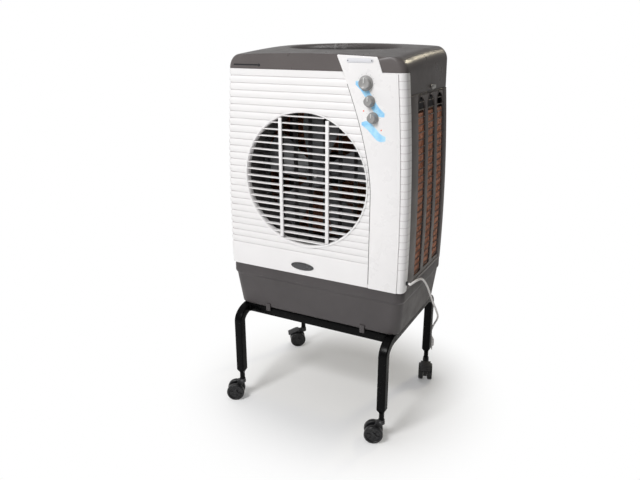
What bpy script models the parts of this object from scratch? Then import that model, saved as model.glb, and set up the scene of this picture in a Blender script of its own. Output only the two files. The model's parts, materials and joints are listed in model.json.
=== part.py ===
"""Evaporative cooler on a caster stand, as separate solids.

Metres, +Z up. The origin is on the floor under the middle of the cabinet, the air grille faces -Y
and the knobs are on the +X side. Each piece is one object, and a moving piece has its origin on
the axis it turns about or slides along.
"""

import math

import bmesh
import bpy
from mathutils import Matrix, Vector

# ---- driving dimensions -------------------------------------------------------------------
BODY_WIDTH = 0.606          # at the widest level of the cabinet
BODY_DEPTH = 0.385
WIDEST_Z = 0.64
SIDE_ARC_RADIUS = 5.125     # the sides bow outwards along this arc
CORNER = 0.018              # plan radius of the cabinet's corners
STAND_TOP = 0.345
PANEL_BOTTOM = 0.495
PANEL_TOP = 1.1145
SKIRT_BOTTOM = 1.055
CREASE_Z = 1.160            # where the hood's front face meets its roof
ROOF_RISE = 0.022           # how much higher the roof is at the rear
OPENING_RADIUS = 0.2045     # a 16-inch fan blows through it
OPENING_X = -0.0236
OPENING_Z = 0.7956
SLAT_PITCH = 0.021
WHEEL_RADIUS = 0.030
TUBE = 0.028
LEG_X = 0.260
LEG_Y = 0.218
GAP = 0.0004                # between pieces that touch

# ---- dimensions worked out from them -------------------------------------------------------
FRONT_Y = -BODY_DEPTH / 2
REAR_Y = BODY_DEPTH / 2
RETURN_Y = FRONT_Y + 0.0325
WALL = 0.0025
FRAME_WALL = 0.012
TANK_BOTTOM = STAND_TOP + GAP
LEVELS = [PANEL_BOTTOM + (PANEL_TOP - PANEL_BOTTOM) * i / 7 for i in range(8)]

GREY = ((0.115, 0.105, 0.103), 0.45, 0.0)
DARK_GREY = ((0.075, 0.068, 0.068), 0.5, 0.0)
WHITE = ((0.86, 0.85, 0.85), 0.35, 0.0)
BLACK_STEEL = ((0.012, 0.012, 0.013), 0.35, 0.4)
BLACK_PLASTIC = ((0.02, 0.02, 0.022), 0.4, 0.0)
KNOB_GREY = ((0.25, 0.245, 0.24), 0.4, 0.0)
PAD_BROWN = ((0.26, 0.13, 0.085), 0.9, 0.0)
ZINC = ((0.55, 0.55, 0.56), 0.35, 1.0)
MOTOR_BLACK = ((0.035, 0.036, 0.04), 0.5, 0.3)
CORD_WHITE = ((0.75, 0.74, 0.73), 0.5, 0.0)
ORANGE = ((0.75, 0.25, 0.04), 0.45, 0.0)

# Frames for flat outlines: where the outline's own x, y and thickness directions point.
FACING_FRONT = Matrix(((1, 0, 0, 0), (0, 0, -1, 0), (0, 1, 0, 0), (0, 0, 0, 1)))
FACING_RIGHT = Matrix(((0, 0, 1, 0), (1, 0, 0, 0), (0, 1, 0, 0), (0, 0, 0, 1)))
FACING_UP = Matrix.Identity(4)

for startup in list(bpy.data.objects):
    bpy.data.objects.remove(startup)
COOLER = bpy.data.collections.new("evaporative_cooler")
bpy.context.scene.collection.children.link(COOLER)
MATERIALS = {}


# ---- modelling tools -----------------------------------------------------------------------
def half_width(z):
    """Half the cabinet's width at a height: the sides are one shallow arc."""
    return BODY_WIDTH / 2 - (z - WIDEST_Z) ** 2 / (2 * SIDE_ARC_RADIUS)


def link(name, mesh):
    obj = bpy.data.objects.new(name, mesh)
    COOLER.objects.link(obj)
    return obj


def from_bmesh(name, shape):
    bmesh.ops.recalc_face_normals(shape, faces=shape.faces)
    mesh = bpy.data.meshes.new(name)
    shape.to_mesh(mesh)
    shape.free()
    return link(name, mesh)


def apply_modifiers(obj):
    graph = bpy.context.evaluated_depsgraph_get()
    mesh = bpy.data.meshes.new_from_object(obj.evaluated_get(graph))
    obj.modifiers.clear()
    obj.data = mesh


def boolean(target, tool, operation):
    modifier = target.modifiers.new("join", "BOOLEAN")
    modifier.operation = operation
    modifier.solver = "EXACT"
    modifier.object = tool
    apply_modifiers(target)
    bpy.data.objects.remove(tool)
    return target


def join(target, *others):
    for other in others:
        boolean(target, other, "UNION")
    return target


def cut(target, *others):
    for other in others:
        boolean(target, other, "DIFFERENCE")
    return target


def box(name, low, high):
    size = Vector(high) - Vector(low)
    middle = (Vector(high) + Vector(low)) / 2
    shape = bmesh.new()
    bmesh.ops.create_cube(shape, size=1.0, matrix=Matrix.Translation(middle) @ Matrix.Diagonal((*size, 1)))
    return from_bmesh(name, shape)


def rod(name, start, end, radius, segments=24, end_radius=None):
    """A round bar, or a cone, between two points."""
    start, end = Vector(start), Vector(end)
    along = end - start
    turn = along.to_track_quat("Z", "Y").to_matrix().to_4x4()
    half_step = Matrix.Rotation(math.pi / segments, 4, "Z")
    shape = bmesh.new()
    bmesh.ops.create_cone(
        shape,
        cap_ends=True,
        segments=segments,
        radius1=radius,
        radius2=radius if end_radius is None else end_radius,
        depth=along.length,
        matrix=Matrix.Translation((start + end) / 2) @ turn @ half_step,
    )
    return from_bmesh(name, shape)


def ball(name, middle, radius, segments=20):
    shape = bmesh.new()
    place = Matrix.Translation(middle)
    rows = segments // 2
    bmesh.ops.create_uvsphere(shape, u_segments=segments, v_segments=rows, radius=radius, matrix=place)
    return from_bmesh(name, shape)


def turned(name, profile, axis_start, axis_end, steps=32):
    """A profile of (radius, distance along the axis) points turned about the axis."""
    mesh = bpy.data.meshes.new(name)
    points = [(radius, 0, height) for radius, height in profile]
    mesh.from_pydata(points, [(i, i + 1) for i in range(len(points) - 1)], [])
    obj = link(name, mesh)
    screw = obj.modifiers.new("turn", "SCREW")
    screw.steps = steps
    screw.render_steps = steps
    screw.use_merge_vertices = True
    screw.merge_threshold = 0.00005
    apply_modifiers(obj)
    along = Vector(axis_end) - Vector(axis_start)
    place = Matrix.Translation(axis_start) @ along.to_track_quat("Z", "Y").to_matrix().to_4x4()
    obj.data.transform(place)
    tidy = bmesh.new()
    tidy.from_mesh(obj.data)
    bmesh.ops.recalc_face_normals(tidy, faces=tidy.faces)
    tidy.to_mesh(obj.data)
    tidy.free()
    return obj


def plate(name, loops, low, high, frame):
    """A flat outline with its holes, from low to high along the frame's thickness direction."""
    curve = bpy.data.curves.new(name, "CURVE")
    curve.dimensions = "2D"
    curve.fill_mode = "BOTH"
    curve.extrude = (high - low) / 2
    for loop in loops:
        spline = curve.splines.new("POLY")
        spline.points.add(len(loop) - 1)
        for point, (x, y) in zip(spline.points, loop):
            point.co = (x, y, 0, 1)
        spline.use_cyclic_u = True
    return curve_to_mesh(name, curve, frame @ Matrix.Translation((0, 0, (low + high) / 2)))


def tube(name, points, radius, bevel_resolution=2):
    """A round wire, hose or cord along a run of points."""
    curve = bpy.data.curves.new(name, "CURVE")
    curve.dimensions = "3D"
    curve.bevel_depth = radius
    curve.bevel_resolution = bevel_resolution
    curve.use_fill_caps = True
    spline = curve.splines.new("POLY")
    spline.points.add(len(points) - 1)
    for point, place in zip(spline.points, points):
        point.co = (*place, 1)
    return curve_to_mesh(name, curve, Matrix.Identity(4))


def curve_to_mesh(name, curve, place):
    guide = link(name + "_curve", curve)
    graph = bpy.context.evaluated_depsgraph_get()
    mesh = bpy.data.meshes.new_from_object(guide.evaluated_get(graph))
    bpy.data.objects.remove(guide)
    shape = bmesh.new()
    shape.from_mesh(mesh)
    bmesh.ops.remove_doubles(shape, verts=shape.verts, dist=0.00002)
    shape.transform(place)
    return from_bmesh(name, shape)


def loft(name, rings, channel=False):
    """A closed body through rings that have the same number of points.

    A channel's ring runs along its outer side and back along its inner side, so its ends are strips.
    """
    shape = bmesh.new()
    rows = [[shape.verts.new(point) for point in ring] for ring in rings]
    count = len(rows[0])
    for lower, upper in zip(rows, rows[1:]):
        for i in range(count):
            shape.faces.new((lower[i], lower[(i + 1) % count], upper[(i + 1) % count], upper[i]))
    for row in (rows[0], rows[-1]):
        if channel:
            for i in range(count // 2 - 1):
                shape.faces.new((row[i], row[i + 1], row[count - 2 - i], row[count - 1 - i]))
        else:
            bmesh.ops.triangulate(shape, faces=[shape.faces.new(row)], ngon_method="EAR_CLIP")
    return from_bmesh(name, shape)


def split_twisted_faces(obj):
    """Cuts a twisted surface's quads into flat triangles, so that a union finds exact planes."""
    shape = bmesh.new()
    shape.from_mesh(obj.data)
    bmesh.ops.triangulate(shape, faces=shape.faces)
    shape.to_mesh(obj.data)
    shape.free()
    return obj


def smooth_path(points, steps=6):
    """A curve through the points, as short straight runs (Catmull-Rom)."""
    points = [Vector(point) for point in points]
    ends = [2 * points[0] - points[1], *points, 2 * points[-1] - points[-2]]
    path = []
    for before, start, end, after in zip(ends, ends[1:], ends[2:], ends[3:]):
        for i in range(steps):
            t = i / steps
            bend = 2 * before - 5 * start + 4 * end - after
            twist = 3 * start - before - 3 * end + after
            path.append(0.5 * (2 * start + (end - before) * t + bend * t**2 + twist * t**3))
    return path + [points[-1]]


def arc(middle, radius, start_degrees, end_degrees, steps):
    """Points along an arc, both ends included."""
    points = []
    for i in range(steps + 1):
        a = math.radians(start_degrees + (end_degrees - start_degrees) * i / steps)
        points.append((middle[0] + radius * math.cos(a), middle[1] + radius * math.sin(a)))
    return points


def circle(middle, radius, steps):
    return arc(middle, radius, 0, 360, steps)[:-1]


def rounded_rectangle(half_x, half_y, radius, middle=(0, 0), steps=3):
    """An outline that runs anticlockwise from the +X, -Y corner."""
    points = []
    for sign_x, sign_y, start in ((1, -1, -90), (1, 1, 0), (-1, 1, 90), (-1, -1, 180)):
        corner = (middle[0] + sign_x * (half_x - radius), middle[1] + sign_y * (half_y - radius))
        points += arc(corner, radius, start, start + 90, steps)
    return points


def at_height(outline, z):
    return [(x, y, z) for x, y in outline]


def move_origin(obj, place):
    """Puts a moving piece's origin on its joint's axis."""
    obj.data.transform(Matrix.Translation(-Vector(place)))
    obj.location = place
    return obj


def paint(obj, look):
    """Gives the piece its material, and smooth shading on its round faces."""
    if look not in MATERIALS:
        colour, roughness, metallic = look
        material = bpy.data.materials.new(f"finish_{len(MATERIALS) + 1}")
        material.use_nodes = True
        shader = material.node_tree.nodes["Principled BSDF"]
        shader.inputs["Base Color"].default_value = (*colour, 1)
        shader.inputs["Roughness"].default_value = roughness
        shader.inputs["Metallic"].default_value = metallic
        MATERIALS[look] = material
    obj.data.materials.clear()
    obj.data.materials.append(MATERIALS[look])
    obj.data.shade_smooth()
    obj.data.set_sharp_from_angle(angle=math.radians(30))
    return obj


# ---- cabinet -------------------------------------------------------------------------------
def channel_ring(z, half, wall_y, end_y, radius, thickness):
    """One level of a wall that has a return at each side: a C in plan, open towards end_y."""
    side = 1 if wall_y > end_y else -1
    middle_y = wall_y - side * radius

    def bends(bend_radius):
        right = [(half - radius + x, middle_y + side * y) for x, y in arc((0, 0), bend_radius, 0, 90, 4)]
        return right + [(-x, y) for x, y in right[::-1]]

    outer = [(half, end_y), *bends(radius), (-half, end_y)]
    inner = [(half - thickness, end_y), *bends(radius - thickness), (thickness - half, end_y)]
    return at_height(outer + inner[::-1], z)


PANEL_PROUD = 0.003         # how far the control panel stands out from the front
KNOBS = {  # name: x, z, radius
    "speed": (0.1713, 1.0863, 0.0205),
    "pump": (0.1834, 1.0392, 0.016),
    "swing": (0.1943, 0.9956, 0.016),
}
SHAFT_HOLE = 0.0038
GLAND_Y = RETURN_Y - 0.0075
GLAND_Z = 0.522
COLUMN_X = 0.193            # the control panel's straight inner edge


def front_panel():
    rings = [channel_ring(z, half_width(z), FRONT_Y, RETURN_Y, CORNER, WALL) for z in LEVELS]
    panel = loft("front_panel", rings, channel=True)
    around = (OPENING_X, FRONT_Y - 0.01, OPENING_Z), (OPENING_X, FRONT_Y + 0.012, OPENING_Z)
    cut(panel, rod("opening", *around, (OPENING_RADIUS + GAP) / math.cos(math.pi / 40), 40))
    for x, z, _ in KNOBS.values():
        cut(panel, rod("hole", (x, FRONT_Y - 0.01, z), (x, FRONT_Y + 0.01, z), SHAFT_HOLE, 12))
    cut(panel, rod("hole", (0.27, GLAND_Y, GLAND_Z), (0.33, GLAND_Y, GLAND_Z), 0.0046, 12))
    paint(panel, WHITE)


def front_grille():
    """Nineteen fixed slats and two upright bars in a ring."""
    front, rear = FRONT_Y - 0.0015, FRONT_Y + 0.019
    inner, outer, depth = OPENING_RADIUS - 0.004, OPENING_RADIUS, rear - front
    profile = [(inner, 0), (outer, 0), (outer, depth), (inner, depth), (inner, 0)]
    grille = turned("front_grille", profile, (OPENING_X, front, OPENING_Z), (OPENING_X, rear, OPENING_Z), 40)
    half_slat = 0.0015
    for i in range(-9, 10):
        z = OPENING_Z + i * SLAT_PITCH
        reach = math.sqrt((OPENING_RADIUS - 0.0015) ** 2 - (i * SLAT_PITCH) ** 2) - 0.0005
        low = (OPENING_X - reach, FRONT_Y, z - half_slat)
        high = (OPENING_X + reach, rear - 0.0015, z + half_slat)
        join(grille, box("slat", low, high))
    bar_from_middle, half_bar = 0.078, 0.0055
    for side in (-1, 1):
        x = OPENING_X + side * bar_from_middle
        reach = math.sqrt((OPENING_RADIUS - 0.002) ** 2 - bar_from_middle**2) - 0.0045
        low = (x - half_bar, FRONT_Y - 0.0035, OPENING_Z - reach)
        high = (x + half_bar, FRONT_Y + 0.002, OPENING_Z + reach)
        join(grille, box("bar", low, high))
    paint(grille, WHITE)


def divider(z):
    """The inner edge of the control panel: upright low down, leaning towards the middle higher up."""
    lean_from, reach = 0.78, 0.111
    return COLUMN_X - reach * (max(0.0, z - lean_from) / (CREASE_Z - lean_from)) ** 1.6


def control_panel():
    """The smooth right-hand column, with a tongue that laps over the hood."""
    tongue_root = PANEL_TOP - 0.003
    right = [(half_width(z) - CORNER - 0.002, z) for z in LEVELS[:-1]]
    right += [(half_width(PANEL_TOP) - 0.02, tongue_root)]
    tongue = [(0.218, tongue_root), (0.202, CREASE_Z - 0.006), (divider(CREASE_Z), CREASE_Z - 0.0015)]
    left = [(divider(z), z) for z in (1.13, 1.09, 1.04, 0.99, 0.94, 0.88, 0.83, 0.78)]
    left += [(COLUMN_X, PANEL_BOTTOM)]
    holes = [circle((x, z), SHAFT_HOLE, 12)[::-1] for x, z, _ in KNOBS.values()]
    reach = (-FRONT_Y + GAP, -FRONT_Y + PANEL_PROUD)
    paint(plate("control_panel", [right + tongue + left, *holes], *reach, FACING_FRONT), WHITE)


def nameplate():
    """A blank rounded plate on the control panel's tongue."""
    outline = rounded_rectangle(0.039, 0.0055, 0.005, (0.152, 1.144), 3)
    low = -FRONT_Y + PANEL_PROUD + GAP
    paint(plate("nameplate", [outline], low, low + 0.001, FACING_FRONT), WHITE)


def badge():
    """A plain oval on the smooth lower band."""
    middle, half_length, half_height = (-0.031, 0.524), 0.04, 0.0125
    outline = [(middle[0] + half_length * x, middle[1] + half_height * z) for x, z in circle((0, 0), 1, 24)]
    paint(plate("badge", [outline], -FRONT_Y + GAP, -FRONT_Y + 0.0025, FACING_FRONT), DARK_GREY)


RIGHT_WINDOW = (-0.101, 0.141)      # along the side
REAR_WINDOW = (-0.245, 0.245)       # across the rear
WINDOW_Z = (0.505, 1.052)


def body_frame():
    """Corner posts, cross rails and a neck under the hood, with a window for each pad frame."""
    post_front = RETURN_Y + 0.0025
    step = SKIRT_BOTTOM - 0.001
    levels = [z for z in LEVELS if z < step - 0.01] + [step]
    rings = [channel_ring(z, half_width(z) - 0.0005, REAR_Y, post_front, 0.030, FRAME_WALL) for z in levels]
    neck_inset = 0.008
    for z in (step + 0.0002, PANEL_TOP - 0.006):
        half = half_width(z) - 0.001 - neck_inset
        rings.append(channel_ring(z, half, REAR_Y - neck_inset, post_front + 0.002, 0.024, FRAME_WALL / 2))
    frame = loft("body_frame", rings, channel=True)
    low_z, high_z = WINDOW_Z
    cut(frame, box("window", (-0.35, RIGHT_WINDOW[0], low_z), (0.35, RIGHT_WINDOW[1], high_z)))
    cut(frame, box("window", (REAR_WINDOW[0], 0.16, low_z), (REAR_WINDOW[1], 0.22, high_z)))
    paint(frame, GREY)


# ---- top hood ------------------------------------------------------------------------------
HOOD_WALL = 0.003
HOOD_INSET = 0.004          # how far the skirt stands in from the cabinet's outline
HOOD_CORNER = 0.02
SHOULDER_WIDTH = 0.036
SHOULDER_HEIGHT = 0.042


def roof_height(x, y):
    """The roof: crowned across, rising towards the rear, with a shallow oval dish in it."""
    along = (y - FRONT_Y) / BODY_DEPTH
    height = CREASE_Z - 0.006 * (x / 0.24) ** 2 + ROOF_RISE * math.sin(math.pi / 2 * min(along, 1))
    dish = 1 - ((x / 0.19) ** 2 + ((y - 0.03) / 0.125) ** 2)
    return height - 0.016 * min(1.0, max(0.0, 3 * dish))


def hood_section(y):
    """An arch from the right skirt over the roof to the left skirt, at one station along Y."""
    from_end = min(y - FRONT_Y, REAR_Y - 0.002 - y)
    tuck = HOOD_CORNER - from_end
    inset = HOOD_CORNER - math.sqrt(HOOD_CORNER**2 - tuck**2) if tuck > 0 else 0.0
    half = half_width(SKIRT_BOTTOM) - HOOD_INSET - inset
    side = [(half, SKIRT_BOTTOM), (half - 0.001, PANEL_TOP)]
    shoulder_middle = half - 0.001 - SHOULDER_WIDTH
    base = roof_height(shoulder_middle, y) - SHOULDER_HEIGHT
    for degrees in (30, 60):
        a = math.radians(degrees)
        side.append((shoulder_middle + SHOULDER_WIDTH * math.cos(a), base + SHOULDER_HEIGHT * math.sin(a)))
    roof = [shoulder_middle * (1 - i / 4) for i in range(5)]
    side += [(x, roof_height(x, y)) for x in roof]
    return [(x, y, z) for x, z in side] + [(-x, y, z) for x, z in side[-2::-1]]


def top_hood():
    front_stations = [FRONT_Y + HOOD_CORNER * s for s in (0, 0.3, 1)]
    rear_stations = [REAR_Y - 0.002 - HOOD_CORNER * s for s in (1, 0.3, 0)]
    stations = front_stations + [-0.11, -0.07, 0.0, 0.07, 0.13] + rear_stations
    shape = bmesh.new()
    rows = [[shape.verts.new(point) for point in hood_section(y)] for y in stations]
    for near, far in zip(rows, rows[1:]):
        for i in range(len(near) - 1):
            shape.faces.new((near[i], near[i + 1], far[i + 1], far[i]))
    ends = [shape.faces.new(rows[0][::-1]), shape.faces.new(rows[-1])]
    bmesh.ops.triangulate(shape, faces=ends, ngon_method="EAR_CLIP")
    hood = from_bmesh("top_hood", shape)
    wall = hood.modifiers.new("wall", "SOLIDIFY")
    wall.thickness = HOOD_WALL
    wall.offset = -1
    apply_modifiers(hood)
    cut(hood, box("front_gap", (-0.4, -0.3, 1.0), (0.4, RETURN_Y + 0.002, PANEL_TOP + GAP)))
    paint(hood, GREY)


# ---- pads and their louvred frames -----------------------------------------------------------
PAD_Z = (0.513, 1.000)
PAD_THICKNESS = 0.028
PAD_FRAME_Z = (WINDOW_Z[0] + 0.0005, WINDOW_Z[1] - 0.0015)
PAD_FRAME_THICKNESS = 0.006
PAD_FRAME_INSET = 0.002     # how far the frames stand in from the cabinet's outline
PAD_HINGE_X = half_width(PAD_FRAME_Z[0]) - PAD_FRAME_INSET
PAD_HINGE_Y = REAR_Y - PAD_FRAME_INSET
COLUMN_FOOT = 0.517
COLUMN_TOP = 1.045
COLUMN_BAR = 0.030          # between two columns of louvres
LOUVRE_PITCH = 0.042
LOUVRE_THICKNESS = 0.0025
LOUVRE_INSETS = (0.0035, 0.0075)    # of their outer and inner edges, from the cabinet's outline
LOUVRE_MARGIN = 0.003               # from their ends to the frame's edges
CATCH_Z = 1.066


def curved_slab(name, side, along, heights, outer_inset, inner_inset):
    """A slab that follows the bowed side of the cabinet, between two places along Y."""
    low, high = heights
    rings = []
    for i in range(8):
        z = low + (high - low) * i / 7
        outer, inner = side * (half_width(z) - outer_inset), side * (half_width(z) - inner_inset)
        near, far = along
        rings.append([(outer, near, z), (outer, far, z), (inner, far, z), (inner, near, z)])
    return loft(name, rings)


def column_cutter(start, count, width, frame, reach):
    """Upright slots with arched tops, one for each column of louvres."""
    outlines = []
    for i in range(count):
        left = start + i * (width + COLUMN_BAR)
        top = arc((left + width / 2, COLUMN_TOP - width / 2), width / 2, 0, 180, 6)
        outlines.append([(left, COLUMN_FOOT), (left + width, COLUMN_FOOT), *top])
    return plate("columns", outlines, *reach, frame)


def louvre_levels():
    count = int((PAD_Z[1] - COLUMN_FOOT) / LOUVRE_PITCH)
    return [PAD_Z[1] + 0.003 - LOUVRE_PITCH * i for i in range(count)]


def side_pad_frame(name, side):
    along = (RIGHT_WINDOW[0] + 0.001, RIGHT_WINDOW[1] - 0.001)
    inner_inset = PAD_FRAME_INSET + PAD_FRAME_THICKNESS
    frame = curved_slab(name, side, along, PAD_FRAME_Z, PAD_FRAME_INSET, inner_inset)
    reach = (0.25, 0.32) if side > 0 else (-0.32, -0.25)
    cut(frame, column_cutter(along[0] + 0.006, 3, 0.056, FACING_RIGHT, reach))
    for z in louvre_levels():
        edges = sorted(side * (half_width(z) - inset) for inset in LOUVRE_INSETS)
        low = (edges[0], along[0] + LOUVRE_MARGIN, z)
        high = (edges[1], along[1] - LOUVRE_MARGIN, z + LOUVRE_THICKNESS)
        join(frame, box("slat", low, high))
    paint(move_origin(frame, (side * PAD_HINGE_X, 0, PAD_FRAME_Z[0])), GREY)


def rear_pad_frame():
    along = (REAR_WINDOW[0] + 0.001, REAR_WINDOW[1] - 0.001)
    inner = PAD_HINGE_Y - PAD_FRAME_THICKNESS
    low, high = (along[0], inner, PAD_FRAME_Z[0]), (along[1], PAD_HINGE_Y, PAD_FRAME_Z[1])
    frame = box("rear_pad_frame", low, high)
    cut(frame, column_cutter(along[0] + 0.009, 4, 0.095, FACING_FRONT, (-0.22, -0.15)))
    for z in louvre_levels():
        low = (along[0] + LOUVRE_MARGIN, REAR_Y - LOUVRE_INSETS[1], z)
        high = (along[1] - LOUVRE_MARGIN, REAR_Y - LOUVRE_INSETS[0], z + LOUVRE_THICKNESS)
        join(frame, box("slat", low, high))
    paint(move_origin(frame, (0, PAD_HINGE_Y, PAD_FRAME_Z[0])), GREY)


def pads():
    """Each pad sits behind its frame and tilts out with it."""
    inset = PAD_FRAME_INSET + PAD_FRAME_THICKNESS + 0.001
    along = (RIGHT_WINDOW[0] + 0.004, RIGHT_WINDOW[1] - 0.004)
    for name, side in (("right_pad", 1), ("left_pad", -1)):
        pad = curved_slab(name, side, along, PAD_Z, inset, inset + PAD_THICKNESS)
        paint(move_origin(pad, (side * PAD_HINGE_X, 0, PAD_FRAME_Z[0])), PAD_BROWN)
    outer = REAR_Y - inset
    low = (REAR_WINDOW[0] + 0.006, outer - PAD_THICKNESS, PAD_Z[0])
    high = (REAR_WINDOW[1] - 0.006, outer, PAD_Z[1])
    paint(move_origin(box("rear_pad", low, high), (0, PAD_HINGE_Y, PAD_FRAME_Z[0])), PAD_BROWN)


def catches():
    """Turn buttons on the hood's skirt, turned aside. A quarter turn closes them over the frames."""
    head, reach, half, boss_radius = 0.0075, 0.026, 0.0055, 0.0045
    outline = [(reach, -half), (reach, half), *arc((0, 0), head, 90, 270, 6)]
    on_side = half_width(SKIRT_BOTTOM) - HOOD_INSET
    middle = (RIGHT_WINDOW[0] + RIGHT_WINDOW[1]) / 2
    for name, side in (("right_catch", 1), ("left_catch", -1)):
        place = (side * on_side, middle, CATCH_Z)
        shifted = [(middle + u, CATCH_Z + v) for u, v in outline]
        low, high = sorted((side * (on_side + 0.0048), side * (on_side + 0.0088)))
        catch = plate(name, [shifted], low, high, FACING_RIGHT)
        foot, top = (side * (on_side + GAP), *place[1:]), (side * (on_side + 0.006), *place[1:])
        join(catch, rod("boss", foot, top, boss_radius, 12))
        paint(move_origin(catch, place), ZINC)
    shifted = [(u, CATCH_Z + v) for u, v in outline]
    catch = plate("rear_catch", [shifted], -PAD_HINGE_Y - 0.0052, -PAD_HINGE_Y - 0.0024, FACING_FRONT)
    foot, top = (0, PAD_HINGE_Y + GAP, CATCH_Z), (0, PAD_HINGE_Y + 0.0034, CATCH_Z)
    join(catch, rod("boss", foot, top, boss_radius, 12))
    paint(move_origin(catch, (0, PAD_HINGE_Y, CATCH_Z)), ZINC)


# ---- water -----------------------------------------------------------------------------------
INLET = (0.125, 0.430)      # y, z of the water inlet in the left wall of the tank
DRAIN = (-0.20, 0.372)      # x, z of the drain in the rear wall
TANK_WALL = 0.0035
LUG_X = 0.170               # two lugs on each long side hook over the stand's rails
LUG_Y = (0.1758, 0.1815)
LUG_Z = (0.336, 0.362)


def tank_half(z):
    """How far the tank's wall is drawn in from the cabinet, at a height."""
    collar, step, foot = 0.464, 0.452, TANK_BOTTOM + 0.010
    if z >= collar:
        return 0.0
    if z >= step:
        return 0.0045 * (collar - z) / (collar - step)
    return 0.0045 + 0.0105 * (step - z) / (step - foot)


def water_tank():
    half_x, half_y = half_width(PANEL_BOTTOM) - 0.0015, REAR_Y - 0.0005
    top = PANEL_BOTTOM - GAP
    heights = [TANK_BOTTOM + 0.010, 0.40, 0.452, 0.464, top]
    outer = [rounded_rectangle(half_x - 0.024, half_y - 0.024, 0.024)]
    outer += [rounded_rectangle(half_x - tank_half(z), half_y - tank_half(z), 0.03) for z in heights]
    rings = [at_height(outline, z) for outline, z in zip(outer, [TANK_BOTTOM, *heights])]
    for z in (top, 0.452, TANK_BOTTOM + 0.012):
        inset = tank_half(min(z, 0.452)) + TANK_WALL
        rings.append(at_height(rounded_rectangle(half_x - inset, half_y - inset, 0.026), z))
    rings.append(at_height(rounded_rectangle(half_x - 0.027, half_y - 0.027, 0.021), TANK_BOTTOM + 0.0035))
    tank = loft("water_tank", rings)
    x, z = DRAIN
    join(tank, rod("boss", (x, 0.1795, z), (x, 0.1925, z), 0.014, 20))
    cut(tank, rod("bore", (x, 0.15, z), (x, 0.2, z), 0.0082, 20))
    y, z = INLET
    cut(tank, rod("bore", (-0.32, y, z), (-0.25, y, z), 0.0082, 20))
    for x in (-LUG_X, LUG_X):
        for side in (-1, 1):
            near, far = sorted((side * LUG_Y[0], side * LUG_Y[1]))
            join(tank, box("lug", (x - 0.008, near, LUG_Z[0]), (x + 0.008, far, LUG_Z[1])))
    paint(tank, DARK_GREY)


def drain_plug():
    x, z = DRAIN
    profile = [(0, 0), (0.0078, 0), (0.0078, 0.0258), (0.013, 0.0258), (0.013, 0.0298), (0, 0.0298)]
    plug = turned("drain_plug", profile[::-1], (x, 0.1672, z), (x, 0.197, z), 20)
    join(plug, box("grip", (x - 0.002, 0.196, z - 0.009), (x + 0.002, 0.204, z + 0.009)))
    paint(move_origin(plug, (x, 0.1925, z)), BLACK_PLASTIC)


FLOAT_PIVOT = (-0.262, *INLET)


def float_valve():
    """Inlet valve through the tank wall: spigot outside, body inside, float arm and ball."""
    y, z = INLET
    wall = half_width(PANEL_BOTTOM) - 0.0015 - tank_half(z)
    valve = rod("float_valve", (-wall - 0.024, y, z), (-wall + 0.024, y, z), 0.0078, 20)
    join(valve, rod("flange", (-wall - 0.0060, y, z), (-wall - 0.0020, y, z), 0.0125, 6))
    join(valve, box("body", (-wall + 0.0065, y - 0.0085, z - 0.0085), (-0.252, y + 0.0085, z + 0.0085)))
    cut(valve, rod("bore", (-wall - 0.03, y, z), (-0.272, y, z), 0.005, 16))
    cut(valve, box("fork", (-0.271, y - 0.003, z - 0.02), (-0.24, y + 0.003, z + 0.02)))
    paint(valve, WHITE)
    pivot_x, _, pivot_z = FLOAT_PIVOT
    wire_end = pivot_x + 0.085
    half_arm = Vector((0, 0.0022, 0.004))
    low = Vector((pivot_x - 0.005, y, pivot_z)) - half_arm
    high = Vector((pivot_x + 0.013, y, pivot_z)) + half_arm
    arm = box("float_arm", low, high)
    join(arm, rod("wire", (pivot_x + 0.01, y, pivot_z), (wire_end, y, pivot_z), 0.0016, 10))
    paint(move_origin(arm, FLOAT_PIVOT), ZINC)
    float_ball = ball("float_ball", (wire_end + 0.025, y, pivot_z - 0.001), 0.027, 20)
    cut(float_ball, rod("socket", (pivot_x + 0.07, y, pivot_z), (wire_end + 0.0003, y, pivot_z), 0.002, 10))
    paint(move_origin(float_ball, FLOAT_PIVOT), ORANGE)


PUMP = (0.150, 0.095)       # x, y
HOSE = (0.195, 0.116)       # x, y of its upright run


def water_pump():
    x, y = PUMP
    floor = TANK_BOTTOM + 0.0035 + GAP
    profile = [(0, 0), (0.033, 0), (0.034, 0.022), (0.029, 0.026), (0.027, 0.07), (0.020, 0.082), (0, 0.082)]
    pump = turned("water_pump", profile[::-1], (x, y, floor), (x, y, floor + 0.08), 24)
    nozzle, pipe, spigot = floor + 0.012, 0.0065, 0.0055
    join(pump, rod("outlet", (x + 0.02, y + 0.01, nozzle), (*HOSE, nozzle), pipe, 12))
    join(pump, rod("riser", (*HOSE, nozzle - pipe), (*HOSE, 0.40), spigot, 12))
    paint(pump, BLACK_PLASTIC)


def pump_hose():
    """Up from the pump and over into the distributor."""
    x, y = HOSE
    points = [(x, y, z) for z in (0.402, 0.60, 0.85, 1.02)]
    points += [(x, y + 0.012, 1.058), (x, 0.158, 1.066), (x, 0.163, 1.055), (x, 0.1635, 1.024)]
    paint(tube("pump_hose", smooth_path(points, 3), 0.007, 1), BLACK_PLASTIC)


def trough_outline(outer, inner, front, rear, inner_rear):
    """A U in plan: along both sides and the rear."""
    outline = [(outer, front), (outer, rear), (-outer, rear), (-outer, front)]
    return outline + [(-inner, front), (-inner, inner_rear), (inner, inner_rear), (inner, front)]


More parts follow.
